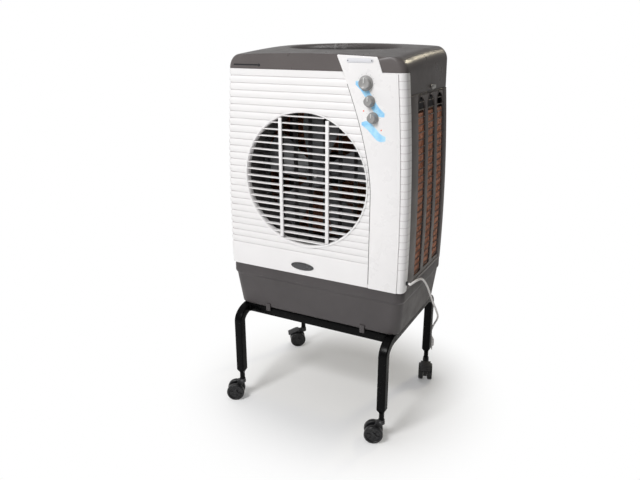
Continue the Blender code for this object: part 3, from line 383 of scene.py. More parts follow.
def at_height(outline, z):
    return [(x, y, z) for x, y in outline]


def settle(obj, body, material, stands_for=(), smooth_angle=32):
    """Material, shading and the body that the piece rides on."""
    obj.data.materials.clear()
    obj.data.materials.append(material)
    obj.data.shade_smooth()
    obj.data.set_sharp_from_angle(angle=math.radians(smooth_angle))
    if stands_for:
        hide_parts(*stands_for)
    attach(obj, body)


def dress(node, material):
    """Gives a CAD node its material and slightly rounded edges."""
    obj = frame["nodes"][node]
    obj.data.materials.clear()
    obj.data.materials.append(material)
    weld = obj.modifiers.new("weld", "WELD")
    weld.merge_threshold = 0.00002
    round_edges(obj, 0.0004, 40)


def middle_of(node):
    """The middle of a CAD node's box: x, y, z."""
    low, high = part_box(node)
    return [(a + b) / 2 for a, b in zip(low, high)]


# ---- materials ------------------------------------------------------------------------------------
def scaled(colour, factor, lift=0.0):
    """A lighter or darker tone of a colour."""
    return tuple(min(1.0, channel * factor + lift) for channel in colour)


class Shader:
    """A Principled material with short calls for the nodes that feed it."""

    def __init__(self, name):
        self.material = bpy.data.materials.new(name)
        self.material.use_nodes = True
        self.nodes = self.material.node_tree.nodes
        self.links = self.material.node_tree.links
        self.surface = self.nodes["Principled BSDF"]
        self.place = self.nodes.new("ShaderNodeTexCoord").outputs["Object"]

    def feed(self, socket, value):
        if isinstance(value, bpy.types.NodeSocket):
            self.links.new(value, socket)
        elif isinstance(value, tuple) and len(value) == 3 and socket.type == "RGBA":
            socket.default_value = (*value, 1)
        else:
            socket.default_value = value

    def set(self, **inputs):
        for name, value in inputs.items():
            self.feed(self.surface.inputs[name.replace("_", " ")], value)

    def node(self, kind, **inputs):
        """A new node, with its inputs fed by name."""
        node = self.nodes.new("ShaderNode" + kind)
        for name, value in inputs.items():
            self.feed(node.inputs[name], value)
        return node

    def stretched(self, scale):
        """The place, stretched so that a texture runs long in one direction."""
        return self.node("Mapping", Scale=scale, Vector=self.place).outputs["Vector"]

    def noise(self, scale, detail=3.0, roughness=0.5, place=None):
        place = place or self.place
        node = self.node("TexNoise", Scale=scale, Detail=detail, Roughness=roughness, Vector=place)
        return node.outputs["Fac"]

    def spread(self, value, low, high, to_low=0.0, to_high=1.0, smooth=False):
        """Maps a value's range onto another, clamped."""
        node = self.node("MapRange")
        node.interpolation_type = "SMOOTHSTEP" if smooth else "LINEAR"
        for socket, number in zip(list(node.inputs)[:5], (value, low, high, to_low, to_high)):
            self.feed(socket, number)
        return node.outputs["Result"]

    def math(self, operation, first, second=0.0, third=0.0):
        node = self.node("Math")
        node.operation = operation
        for socket, number in zip(node.inputs, (first, second, third)):
            self.feed(socket, number)
        return node.outputs["Value"]

    def mix(self, factor, first, second):
        node = self.node("Mix")
        node.data_type = "RGBA"
        sockets = {socket.name: socket for socket in node.inputs if socket.type == "RGBA"}
        self.feed(node.inputs["Factor"], factor)
        self.feed(sockets["A"], first)
        self.feed(sockets["B"], second)
        return next(socket for socket in node.outputs if socket.type == "RGBA")

    def along(self, axis):
        """The place's own x, y or z."""
        return self.node("SeparateXYZ", Vector=self.place).outputs[axis]

    def facing_up(self):
        normal = self.node("NewGeometry").outputs["Normal"]
        return self.node("SeparateXYZ", Vector=normal).outputs["Z"]

    def bump(self, height, strength, distance):
        node = self.node("Bump", Strength=strength, Distance=distance, Height=height)
        self.set(Normal=node.outputs["Normal"])

    def speckled(self, flow, fine, dark, light, speck, amount):
        """Two tones in soft patches, under specks of a third."""
        shade = self.mix(self.spread(flow, 0.35, 0.65), dark, light)
        return self.mix(self.spread(fine, 0.42, 0.70, 0.0, amount), shade, speck)

    def plastic(self, shade, fine, grain, glossy, dull, **surface):
        """The finished plastic: its colour, a gloss that varies in patches, and its grain."""
        gloss = self.spread(self.noise(22.0, 4.0, 0.65), 0.3, 0.7, glossy, dull)
        self.set(Base_Color=shade, Roughness=gloss, **surface)
        self.bump(fine, grain, 0.00012)
        return self.material


def moulded(name, colour, roughness, grain, grain_strength, mottle, dust_and_shade=0.0, coat=0.0):
    """Moulded plastic: fine spark-eroded grain, faint flow mottling, duller patches and settled dust."""
    look = Shader(name)
    flow = look.noise(7.0, 5.0, 0.6)
    fine = look.noise(grain, 2.0, 0.6)
    darker, lighter = scaled(colour, 1 - mottle), scaled(colour, 1 + mottle)
    shade = look.speckled(flow, fine, darker, lighter, darker, 0.22)
    if dust_and_shade:
        settled = look.math("MULTIPLY", look.spread(look.facing_up(), 0.35, 1.0), look.spread(flow, 0.3, 0.7))
        shade = look.mix(look.math("MULTIPLY", settled, dust_and_shade), shade, (0.42, 0.39, 0.36))
    coated = {"Coat_Weight": coat, "Coat_Roughness": 0.12}
    return look.plastic(shade, fine, grain_strength, roughness - 0.06, roughness + 0.08, **coated)


def dished_roof(name, colour, dish_shade):
    """The hood's grey, glossier than the rest, with painted shade in the dish in its roof and on its upward
    faces.
    """
    look = Shader(name)
    fine = look.noise(1100.0, 2.0, 0.6)
    flow = look.noise(7.0, 5.0, 0.6)
    middle_x, middle_y, half_x, half_y = DISH
    across = look.math("DIVIDE", look.math("SUBTRACT", look.along("X"), middle_x), half_x)
    back = look.math("DIVIDE", look.math("SUBTRACT", look.along("Y"), middle_y), half_y)
    squares = [look.math("POWER", look.math("ABSOLUTE", way), 2.0) for way in (across, back)]
    in_dish = look.spread(look.math("ADD", *squares), 1.0, 0.72)
    on_top = look.spread(look.along("Z"), PANEL_TOP + 0.02, PANEL_TOP + 0.03)
    in_dish = look.math("MULTIPLY", in_dish, on_top)
    darker, lighter = scaled(colour, 0.93), scaled(colour, 1.07)
    shade = look.speckled(flow, fine, darker, lighter, scaled(colour, 0.8), 0.25)
    # Painted shade: the dish in the roof is darkened towards near-black.
    shade = look.mix(in_dish, shade, dish_shade)
    # Painted shade: faces that look upwards are darkened towards near-black.
    upper = look.spread(look.facing_up(), 0.5, 0.95)
    shade = look.mix(look.math("MULTIPLY", upper, 0.62), shade, (0.020, 0.016, 0.015))
    return look.plastic(shade, fine, 0.3, 0.26, 0.38, Specular_IOR_Level=0.3)


def metal(name, colour):
    """Plated steel: faintly streaked, with duller patches."""
    look = Shader(name)
    streaks = look.noise(1.0, 4.0, 0.6, look.stretched((40.0, 40.0, 900.0)))
    patches = look.noise(60.0, 4.0, 0.6)
    shade = look.mix(look.spread(patches, 0.35, 0.7), colour, scaled(colour, 0.72))
    gloss = look.spread(streaks, 0.3, 0.7, 0.24, 0.46)
    look.set(Base_Color=shade, Metallic=1.0, Roughness=gloss)
    look.bump(streaks, 0.2, 0.0001)
    return look.material


def enamel(name, colour, roughness, peel, shine=0.5):
    """Gloss paint or powder coat: slight orange peel and dull scuffs."""
    look = Shader(name)
    skin = look.noise(420.0, 2.0, 0.5)
    scuffs = look.noise(26.0, 6.0, 0.7)
    shade = look.mix(look.spread(scuffs, 0.60, 0.75), colour, scaled(colour, 2.2, 0.003))
    gloss = look.spread(scuffs, 0.35, 0.75, roughness - 0.05, roughness + 0.22)
    look.set(Base_Color=shade, Roughness=gloss, Specular_IOR_Level=shine)
    look.bump(skin, peel, 0.00015)
    return look.material


def fibre(name):
    """Wood wool: tangled tan to dark brown strands."""
    look = Shader(name)
    lengthwise = look.noise(1.0, 6.0, 0.65, look.stretched((340.0, 340.0, 60.0)))
    crosswise = look.noise(1.0, 6.0, 0.65, look.stretched((70.0, 70.0, 420.0)))
    patches = look.noise(16.0, 4.0, 0.6)
    tangle = look.math("MAXIMUM", look.spread(lengthwise, 0.45, 0.72), look.spread(crosswise, 0.45, 0.72))
    shade = look.mix(tangle, (0.24, 0.075, 0.035), (0.80, 0.36, 0.21))
    shade = look.mix(look.spread(patches, 0.40, 0.68, 0.0, 0.5), shade, (0.60, 0.22, 0.11))
    look.set(Base_Color=shade, Roughness=0.88, Sheen_Weight=0.15)
    look.bump(tangle, 0.9, 0.0016)
    return look.material


def ribbed_white(name, base):
    """White gloss plastic with painted shade in the grooves between the ribs, darkest at the left corner."""
    look = Shader(name)
    x, z = look.along("X"), look.along("Z")
    fine = look.noise(1300.0, 2.0, 0.6)
    flow = look.noise(7.0, 5.0, 0.6)
    shade = look.mix(look.spread(flow, 0.35, 0.65), scaled(base, 0.975), base)
    # Painted shade: the grooves between the ribs are darkened, more at the left corner.
    turns = look.math("DIVIDE", look.math("SUBTRACT", RIB_TOP, z), PITCH)
    away = look.math("ABSOLUTE", look.math("SUBTRACT", turns, look.math("ROUND", turns)))
    in_groove = look.spread(away, 0.075, 0.010)
    among_ribs = look.spread(turns, RIB_COUNT - 0.6, RIB_COUNT - 0.8)
    corner = look.spread(x, -0.262, -0.290, 0.34, 0.80)
    amount = look.math("ADD", corner, look.spread(flow, 0.3, 0.7, 0.0, 0.12))
    dust_and_shade = look.math("MULTIPLY", look.math("MULTIPLY", in_groove, among_ribs), amount)
    shade = look.mix(dust_and_shade, shade, (0.24, 0.20, 0.205))
    return look.plastic(shade, fine, 0.14, 0.28, 0.42, Coat_Weight=0.2, Coat_Roughness=0.12)


def fascia_print(name, base):
    """The white fascia with its two printed waves, a few dots and the ticks around the knobs."""
    look = Shader(name)
    x, z = look.along("X"), look.along("Z")
    fine = look.noise(1500.0, 2.0, 0.6)
    shade = look.mix(look.spread(look.noise(6.0, 4.0, 0.6), 0.35, 0.65), base, scaled(base, 0.965))
    shade = add_waves(look, shade, x, z)
    shade = add_knob_ticks(look, shade, x, z)
    gloss = look.spread(look.noise(24.0, 4.0, 0.6), 0.3, 0.7, 0.24, 0.36)
    look.set(Base_Color=shade, Roughness=gloss, Coat_Weight=0.25, Coat_Roughness=0.12)
    look.bump(fine, 0.12, 0.0001)
    return look.material


WAVE_BLUE = (0.24, 0.56, 0.86)
WAVE_PALE = (0.42, 0.72, 0.92)
DOT_RED = (0.85, 0.16, 0.07)
TICK_GREY = (0.20, 0.20, 0.22)
# Each wave: start x and z, end x and z, half thickness, bow.
WAVES = (
    (0.140, 1.086, 0.228, 1.004, 0.0140, 0.008),
    (0.160, 0.978, 0.233, 0.941, 0.0120, 0.006),
)
DOTS = ((0.1660, 1.0130), (0.2190, 0.9640))


def add_waves(look, shade, x, z):
    ripple = look.noise(38.0, 3.0, 0.55)
    for start_x, start_z, end_x, end_z, half, bow in WAVES:
        t = look.math("DIVIDE", look.math("SUBTRACT", x, start_x), end_x - start_x)
        straight = look.math("MULTIPLY_ADD", t, end_z - start_z, start_z)
        swing = look.math("MULTIPLY", look.math("SINE", look.math("MULTIPLY", t, 2 * math.pi)), bow)
        away = look.math("ABSOLUTE", look.math("SUBTRACT", z, look.math("ADD", straight, swing)))
        taper = look.math("SINE", look.math("MULTIPLY", look.spread(t, -0.05, 1.05), math.pi))
        width = look.math("MULTIPLY", look.math("ADD", taper, look.math("MULTIPLY", ripple, 0.5)), half)
        inside = look.math("MULTIPLY", look.spread(t, 0.0, 0.02), look.spread(t, 1.0, 0.98))
        band = look.math("MULTIPLY", look.spread(look.math("SUBTRACT", width, away), 0.0, 0.0014), inside)
        tone = look.mix(look.spread(ripple, 0.4, 0.62), WAVE_BLUE, WAVE_PALE)
        shade = look.mix(band, shade, tone)
    for dot_x, dot_z in DOTS:
        away = distance_to(look, x, z, dot_x, dot_z)
        shade = look.mix(look.spread(away, 0.0024, 0.0018), shade, DOT_RED)
    return shade


def distance_to(look, x, z, to_x, to_z):
    across = look.math("SUBTRACT", x, to_x)
    up = look.math("SUBTRACT", z, to_z)
    return look.math("SQRT", look.math("ADD", look.math("POWER", across, 2.0), look.math("POWER", up, 2.0)))


def add_knob_ticks(look, shade, x, z):
    """Short radial ticks outside each knob's upper half."""
    for middle_x, middle_z, radius in KNOBS.values():
        away = distance_to(look, x, z, middle_x, middle_z)
        beyond = look.spread(away, radius + 0.0022, radius + 0.0026)
        within = look.spread(away, radius + 0.0058, radius + 0.0054)
        ring = look.math("MULTIPLY", beyond, within)
        angle = look.math("ARCTAN2", look.math("SUBTRACT", z, middle_z), look.math("SUBTRACT", x, middle_x))
        wave = look.math("COSINE", look.math("MULTIPLY", angle, 12.0))
        ticks = look.spread(wave, 0.985, 0.995)
        upper = look.spread(look.math("SUBTRACT", z, middle_z), -0.002, 0.0)
        shade = look.mix(look.math("MULTIPLY", look.math("MULTIPLY", ring, ticks), upper), shade, TICK_GREY)
    return shade


KNOBS = {}      # middle x, middle z, radius
for knob_name in ("speed", "pump", "swing"):
    knob_low, knob_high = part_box(f"{knob_name}_knob")
    knob_place = JOINTS[f"{knob_name}_knob_turn"]["pos_m"]
    KNOBS[knob_name] = (knob_place[0], knob_place[2], (knob_high.x - knob_low.x) / 2)

# Each: name, colour, roughness, the grain's fineness and strength, mottling, dust, clear coat.
WHITE = moulded("white_gloss_plastic", (0.80, 0.785, 0.785), 0.34, 1300.0, 0.14, 0.02, 0.0, 0.2)
RIBBED_WHITE = ribbed_white("ribbed_white_plastic", (0.80, 0.785, 0.785))
SATIN_WHITE = moulded("white_satin_plastic", (0.72, 0.70, 0.70), 0.46, 1300.0, 0.15, 0.03)
# The vanes are white; this dark grey is painted shade for their place behind the grille.
VANE_PAINTED_SHADE = moulded("vane_painted_shade_plastic", (0.055, 0.052, 0.053), 0.44, 1300.0, 0.15, 0.06)
# The hood's grey, with painted shade in its roof's dish (the last colour) and on its upward faces.
HOOD_GREY_AND_SHADE = dished_roof("grey_hood_plastic", (0.108, 0.096, 0.094), (0.010, 0.008, 0.008))
FRAME_GREY = moulded("grey_frame_plastic", (0.108, 0.094, 0.090), 0.42, 1100.0, 0.35, 0.08, 0.03)
TANK_GREY = moulded("dark_grey_tank_plastic", (0.058, 0.051, 0.052), 0.46, 900.0, 0.40, 0.08, 0.02)
INNER_GREY = moulded("inner_grey_plastic", (0.10, 0.094, 0.094), 0.5, 900.0, 0.3, 0.08)
BLACK = moulded("black_plastic", (0.022, 0.022, 0.024), 0.40, 900.0, 0.35, 0.12, 0.05)
FAN_GREY = moulded("fan_plastic", (0.10, 0.10, 0.105), 0.36, 900.0, 0.2, 0.10)
KNOB_GREY = moulded("knob_grey_plastic", (0.29, 0.285, 0.28), 0.36, 1600.0, 0.25, 0.06, 0.0, 0.15)
POINTER = moulded("pointer_pale_plastic", (0.62, 0.62, 0.61), 0.40, 1500.0, 0.1, 0.05)
NAME_GREY = moulded("nameplate_grey_plastic", (0.64, 0.64, 0.67), 0.30, 1500.0, 0.1, 0.04, 0.0, 0.3)
CORD_WHITE = moulded("cord_white_sheath", (0.74, 0.72, 0.71), 0.44, 1800.0, 0.2, 0.04)
ORANGE = moulded("orange_float_plastic", (0.72, 0.22, 0.035), 0.38, 1200.0, 0.2, 0.06)
EMBLEM = moulded("emblem_black_plastic", (0.030, 0.030, 0.032), 0.22, 1500.0, 0.1, 0.10, 0.0, 0.5)
HOSE = moulded("hose_rubber", (0.030, 0.030, 0.032), 0.62, 700.0, 0.4, 0.15)
TREAD = moulded("caster_nylon", (0.007, 0.007, 0.008), 0.34, 1000.0, 0.3, 0.15, 0.02)
WEB_GREY = moulded("caster_hub_plastic", (0.030, 0.030, 0.031), 0.42, 1000.0, 0.3, 0.10, 0.02)
STEEL = enamel("black_powder_coat", (0.0016, 0.0016, 0.0018), 0.26, 0.35, 0.09)
MOTOR = enamel("black_motor_enamel", (0.020, 0.021, 0.024), 0.40, 0.8)
ZINC = metal("zinc_plated_steel", (0.60, 0.59, 0.56))
PAD = fibre("wood_wool")
PRINT = fascia_print("white_fascia_print", (0.80, 0.785, 0.785))


# ---- front -----------------------------------------------------------------------------------------
def rib_depth(z):
    """How deep the ribs' grooves are at a height."""
    lowest = RIB_TOP - (RIB_COUNT - 1) * PITCH
    nearest = min(RIB_TOP, max(lowest, RIB_TOP - round((RIB_TOP - z) / PITCH) * PITCH))
    away = min(1.0, abs(z - nearest) / (PITCH / 2))
    return RIB_DEPTH * (1 - away**0.5)


def rib_levels():
    steps = (0.0, 0.0005, 0.0014, 0.003, 0.0055, 0.0085)
    levels = {PANEL_BOTTOM, PANEL_BOTTOM + 0.025, PANEL_BOTTOM + 0.05, PANEL_TOP - 0.0006, PANEL_TOP}
    for i in range(RIB_COUNT):
        groove = RIB_TOP - i * PITCH
        levels |= {round(groove + side * step, 6) for step in steps for side in (-1, 1)}
    return sorted(level for level in levels if level <= PANEL_TOP)


def panel_ring(z):
    """The panel's wall at one height, out along its ribbed face and back along its inner face."""
    half = half_width(z)
    plain_right = divider(z) + 0.035
    corners = 9
    places = [(half, RETURN_Y, 1, 0), (half, (RETURN_Y + FRONT_Y + CORNER) / 2, 1, 0)]
    for i in range(corners + 1):
        a = math.radians(-90 * i / corners)
        out, down = math.cos(a), math.sin(a)
        places.append((half - CORNER + CORNER * out, FRONT_Y + CORNER + CORNER * down, out, down))
    across = 18
    for i in range(1, across):
        places.append(((half - CORNER) * (1 - 2 * i / across), FRONT_Y, 0, -1))
    mirrored = [(-x, y, -nx, ny) for x, y, nx, ny in places[: corners + 3]]
    places += mirrored[::-1]
    lip = 0.0008 if z >= PANEL_TOP or z <= PANEL_BOTTOM else 0.0
    outer, inner = [], []
    for x, y, nx, ny in places:
        ribbed = 1.0 if x < plain_right else 0.0
        if x < 0 and y > FRONT_Y + 0.001:
            ribbed = 1.6 - 1.6 * blend_step(FRONT_Y + CORNER, RETURN_Y - 0.002, y)
        depth = rib_depth(z) * ribbed + lip
        outer.append((x - nx * depth, y - ny * depth, z))
        wall = WALL + 0.0022 * ribbed
        inner.append((x - nx * wall, y - ny * wall, z))
    return outer + inner[::-1]


def beside_fascia(heights, near, far):
    """A strip that follows the fascia's left edge, from near to far beside it."""
    return [(divider(z) - near, z) for z in heights] + [(divider(z) - far, z) for z in heights[::-1]]


def front_panel():
    """The ribbed white shell with its round opening, and a groove along the fascia with a dark strip in it as
    painted shade.
    """
    panel = loft("front_shell", [panel_ring(z) for z in rib_levels()], "strip")
    through = (OPENING_X, FRONT_Y - 0.02, OPENING_Z), (OPENING_X, FRONT_Y + 0.02, OPENING_Z)
    cut(panel, rod("opening", *through, OPENING_RADIUS + 0.0003, 128))
    heights = [PANEL_BOTTOM - 0.01 + (PANEL_TOP + 0.02 - PANEL_BOTTOM) * i / 30 for i in range(31)]
    groove = beside_fascia(heights, 0.0004, 0.0034)
    cut(panel, plate("groove", [groove], -FRONT_Y - 0.0017, -FRONT_Y + 0.01, FACING_FRONT))
    # Painted shade: a dark grey strip at the bottom of the groove.
    groove_shade = beside_fascia(heights[1:-2], 0.0006, 0.0032)
    groove_shade = plate("fascia_groove_shade_strip", [groove_shade], -FRONT_Y - 0.0016, -FRONT_Y - 0.0011, FACING_FRONT)
    settle(groove_shade, "cabinet", INNER_GREY)
    for x, z, _ in KNOBS.values():
        cut(panel, rod("hole", (x, FRONT_Y - 0.02, z), (x, FRONT_Y + 0.02, z), 0.0038, 20))
    _, y, z = middle_of("cord_gland")
    cut(panel, rod("hole", (0.27, y, z), (0.33, y, z), 0.0046, 20))
    settle(panel, "cabinet", RIBBED_WHITE, ("front_panel",), 28)


def air_grille():
    """Rounded slats and two upright bars in a lipped ring."""
    ring = [
        (OPENING_RADIUS - 0.0040, 0.0),
        (OPENING_RADIUS - 0.0040, -0.0145),
        (OPENING_RADIUS - 0.0022, -0.0196),
        (OPENING_RADIUS + 0.0024, -0.0204),
        (OPENING_RADIUS + 0.0024, -0.0190),
        (OPENING_RADIUS - 0.0002, -0.0186),
        (OPENING_RADIUS - 0.0002, 0.0),
    ]
    axis_end = (OPENING_X, GRILLE_REAR + 1, OPENING_Z)
    parts = [turned("ring", round_over(ring, 0.0006, 2), (OPENING_X, GRILLE_REAR, OPENING_Z), axis_end, 128)]
    tail = GRILLE_REAR - 0.0025
    turns = [math.radians(degrees) for degrees in range(-90, 91, 30)]
    profile = [(FRONT_Y + 0.0016 - 0.0016 * math.cos(a), 0.0016 * math.sin(a)) for a in turns]
    profile += [(tail, 0.0011), (tail + 0.0006, 0.0), (tail, -0.0011)]
    for i in range(-GRILLE_SLATS, GRILLE_SLATS + 1):
        z = OPENING_Z + i * PITCH
        reach = math.sqrt((OPENING_RADIUS - 0.0030) ** 2 - (abs(i) * PITCH + 0.001) ** 2)
        ends = [[(OPENING_X + side * reach, y, z + up) for y, up in profile] for side in (-1, 1)]
        parts.append(loft("slat", ends))
    reach = math.sqrt((OPENING_RADIUS - 0.0035) ** 2 - (GRILLE_BAR_X + 0.005) ** 2)
    for x in (OPENING_X - GRILLE_BAR_X, OPENING_X + GRILLE_BAR_X):
        low = (x - 0.0055, FRONT_Y - 0.0032, OPENING_Z - reach)
        high = (x + 0.0055, FRONT_Y + 0.003, OPENING_Z + reach)
        parts.append(box("bar", low, high, 0.0016))
    settle(gather("air_grille", parts), "cabinet", WHITE, ("front_grille",))


def control_fascia():
    """The smooth white column at the right, with a tongue up over the hood and holes for the knobs."""
    levels = [PANEL_BOTTOM + (PANEL_TOP - 0.003 - PANEL_BOTTOM) * i / 12 for i in range(13)]
    right = [(half_width(z) - CORNER - 0.002, z) for z in levels]
    tongue = [(0.2195, PANEL_TOP - 0.003), (0.2165, PANEL_TOP + 0.001), (0.2035, CREASE_Z - 0.010)]
    tongue += [(0.2000, CREASE_Z - 0.006), (divider(CREASE_Z) + 0.004, CREASE_Z - 0.0015)]
    tongue += [(divider(CREASE_Z - 0.004) + 0.0003, CREASE_Z - 0.004)]
    left = [(divider(z), z) for z in [CREASE_Z - 0.008 - 0.0155 * i for i in range(24)]]
    left += [(COLUMN_X, LEAN_FROM), (COLUMN_X, PANEL_BOTTOM)]
    holes = [arc((x, z), 0.0038, 0, 360, 20)[:-1][::-1] for x, z, _ in KNOBS.values()]
    outlines = [right + tongue + left, *holes]
    fascia = plate("control_fascia", outlines, -FASCIA_HIGH.y, -FASCIA_LOW.y, FACING_FRONT, 0.0009)
    settle(fascia, "cabinet", PRINT, ("control_panel",))


def nameplate():
    """A blank raised plate with a recessed border, on the fascia's tongue."""
    low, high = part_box("nameplate")
    middle = middle_of("nameplate")[::2]
    half_x, half_z = (high.x - low.x) / 2, (high.z - low.z) / 2
    outline = rounded_rectangle(half_x, half_z, 0.0050, middle, 8)
    base = plate("base", [outline], -high.y, -low.y - 0.0004, FACING_FRONT, 0.0002)
    raised = rounded_rectangle(half_x - 0.0022, half_z - 0.0018, 0.0034, middle, 8)
    top = plate("top", [raised], -low.y - 0.0005, -low.y + 0.0002, FACING_FRONT, 0.0002)
    settle(gather("blank_nameplate", [base, top]), "cabinet", NAME_GREY, ("nameplate",))
    dome = [(0, 0), (0.0017, 0), (0.0016, 0.0004), (0.0009, 0.0008), (0, 0.0009)]
    for end, x in (("left", low.x + 0.0045), ("right", high.x - 0.0045)):
        axis = (x, low.y + 0.0002, middle[1]), (x, low.y - 1, middle[1])
        rivet = turned(f"nameplate_rivet_{end}", dome, *axis, 24)
        settle(rivet, "cabinet", BLACK)


def emblem():
    """A plain domed oval on the lower front."""
    low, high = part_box("badge")
    middle_x, _, middle_z = middle_of("badge")
    half_x, half_z, rise = (high.x - low.x) / 2, (high.z - low.z) / 2, high.y - low.y
    rings = []
    for inset, height in ((0.0, 0.0), (0.0, 0.35), (0.03, 0.62), (0.10, 0.82), (0.28, 0.95), (0.60, 1.0)):
        ring = []
        for i in range(64):
            a = 2 * math.pi * i / 64
            x = half_x * (1 - inset) * math.cos(a)
            z = half_z * (1 - inset) * math.sin(a)
            ring.append((middle_x + x, high.y - rise * height, middle_z + z))
        rings.append(ring)
    settle(loft("plain_emblem", rings), "cabinet", EMBLEM, ("badge",))


def knobs():
    """Grip-ridged knobs with a skirt, a dished top and a raised pointer."""
    for name, (x, z, radius) in KNOBS.items():
        low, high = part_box(f"{name}_knob")
        depth = high.y - low.y - 0.0015
        grip = radius * 0.80

        def ripple(angle, at_radius, distance, grip=grip, depth=depth):
            on_grip = abs(at_radius - grip) < 0.0012 and 0.005 < distance < depth - 0.0012
            return 1 - 0.035 * (0.5 + 0.5 * math.cos(KNOB_RIDGES * angle)) if on_grip else 1.0

        profile = [(0, 0), (radius, 0), (radius, 0.0022), (radius - 0.0012, 0.0034), (grip + 0.0014, 0.0044)]
        profile += [(grip + 0.0005, 0.0056), (grip, 0.0075), (grip - 0.0004, depth - 0.0030)]
        profile += [(grip - 0.0010, depth - 0.0010), (grip - 0.0022, depth), (grip * 0.72, depth)]
        profile += [(grip * 0.66, depth - 0.0008), (0, depth - 0.0011)]
        back = (x, high.y, z)
        body = turned("body", profile, back, (x, high.y - 1, z), 168, ripple)
        cut(body, rod("bore", (x, high.y + 0.01, z), (x, high.y - 0.0115, z), 0.0034, 20))
        pointer_low = (x - 0.0012, low.y, z + 0.001)
        pointer_high = (x + 0.0012, low.y + 0.004, z + grip * 0.93)
        pointer = box(f"{name}_pointer", pointer_low, pointer_high, 0.0005)
        settle(body, f"{name}_dial", KNOB_GREY, (f"{name}_knob",), 40)
        body.name = f"{name}_ridged_knob"
        settle(pointer, f"{name}_dial", POINTER)


# ---- cabinet ----------------------------------------------------------------------------------------
def hood_ends_inset(y):
    """How far the hood's sides draw in at its rounded front and rear ends."""
    tuck = HOOD_END_RADIUS - min(y - FRONT_Y, HOOD_REAR - y)
    return HOOD_END_RADIUS - math.sqrt(HOOD_END_RADIUS**2 - tuck**2) if tuck > 0 else 0.0


def roof_height(x, y):
    """The roof: crowned across, rising towards the rear, with a shallow oval dish in it."""
    along = (y - FRONT_Y) / BODY_DEPTH
    height = CREASE_Z - 0.006 * (x / 0.24) ** 2 + ROOF_RISE * math.sin(math.pi / 2 * min(along, 1))
    middle_x, middle_y, half_x, half_y = DISH
    dish = 1 - ((x - middle_x) / half_x) ** 2 - ((y - middle_y) / half_y) ** 2
    sunk = blend_step(0.0, 0.30, dish)
    return height - DISH_DEPTH * sunk


def hood_section(y):
    """An arch from the right skirt over the roof to the left skirt."""
    inset = hood_ends_inset(y)
    half = half_width(SKIRT_BOTTOM) - 0.004 - inset
    ease = 0.0012 * (1 - blend_step(FRONT_Y, FRONT_Y + 0.0012, y))
    skirt = PANEL_TOP - SKIRT_BOTTOM
    side = [(half - 0.001 * t, SKIRT_BOTTOM + skirt * t) for t in (0.0, 0.04, 0.5, 0.96, 1.0)]
    reach, rise = HOOD_SHOULDER
    shoulder = half - 0.001 - reach
    base = roof_height(shoulder, y) - rise
    for i in range(1, 10):
        a = math.radians(9 * i)
        side.append((shoulder + reach * math.cos(a), base + (rise - ease) * math.sin(a)))
    steps = 40
    for i in range(steps + 1):
        x = shoulder * (1 - i / steps)
        side.append((x, roof_height(x, y) - ease))
    return [(x, y, z) for x, z in side] + [(-x, y, z) for x, z in side[-2::-1]]


def hood():
    """The shell, hollow under its roof and open to the front panel, with a slot and a button."""
    near = [FRONT_Y + HOOD_END_RADIUS * s for s in (0, 0.03, 0.06, 0.14, 0.28, 0.45, 0.68, 1.0)]
    far = [HOOD_REAR - HOOD_END_RADIUS * s for s in (1.0, 0.68, 0.45, 0.28, 0.14, 0.06, 0.02, 0.0)]
    middle = [near[-1] + (far[0] - near[-1]) * i / 44 for i in range(1, 44)]
    shape = bmesh.new()
    rows = [[shape.verts.new(point) for point in hood_section(y)] for y in near + middle + far]
    for front, back in zip(rows, rows[1:]):
        for i in range(len(front) - 1):
            shape.faces.new((front[i], front[i + 1], back[i + 1], back[i]))
    ends = [shape.faces.new(rows[0][::-1]), shape.faces.new(rows[-1])]
    bmesh.ops.triangulate(shape, faces=ends, ngon_method="EAR_CLIP")
    cover = from_bmesh("hood_shell", shape)
    wall = cover.modifiers.new("wall", "SOLIDIFY")
    wall.thickness = HOOD_WALL
    wall.offset = -1
    apply_modifiers(cover)
    cut(cover, box("gap", (-0.4, -0.3, 1.0), (0.4, RETURN_Y + 0.002, PANEL_TOP + 0.0004)))
    outline = rounded_rectangle(HOOD_SLOT_HALF, 0.0021, 0.0020, HOOD_SLOT, 6)
    cut(cover, plate("slot", [outline], -FRONT_Y - 0.0024, -FRONT_Y + 0.01, FACING_FRONT))
    # Painted shade: a black strip at the bottom of the slot.
    slot_shade = rounded_rectangle(HOOD_SLOT_HALF - 0.0001, 0.0020, 0.0019, HOOD_SLOT, 6)
    slot_shade = plate("hood_slot_shade_strip", [slot_shade], -FRONT_Y - 0.0023, -FRONT_Y - 0.0017, FACING_FRONT)
    settle(slot_shade, "cabinet", BLACK)
    settle(cover, "cabinet", HOOD_GREY_AND_SHADE, ("top_hood",), 30)
    cap = [(0, 0), (0.0042, 0), (0.0042, 0.0012), (0.0036, 0.0019), (0.0012, 0.0021), (0, 0.0021)]
    x, z = HOOD_SLOT[0] + HOOD_SLOT_HALF + 0.003, HOOD_SLOT[1]
    button = turned("hood_button", cap, (x, FRONT_Y + 0.0004, z), (x, FRONT_Y - 1, z), 32)
    settle(button, "cabinet", BLACK)


def channel_ring(z, half, wall_y, end_y, radius, thickness):
    """One level of a wall that has a return at each side: a C in plan, open towards end_y."""
    def bend(r):
        right = arc((half - radius, wall_y - radius), r, 0, 90, 14)
        return right + [(-x, y) for x, y in right[::-1]]

    outer = [(half, end_y), *bend(radius), (-half, end_y)]
    inner = [(half - thickness, end_y), *bend(radius - thickness), (thickness - half, end_y)]
    return at_height(outer + inner[::-1], z)


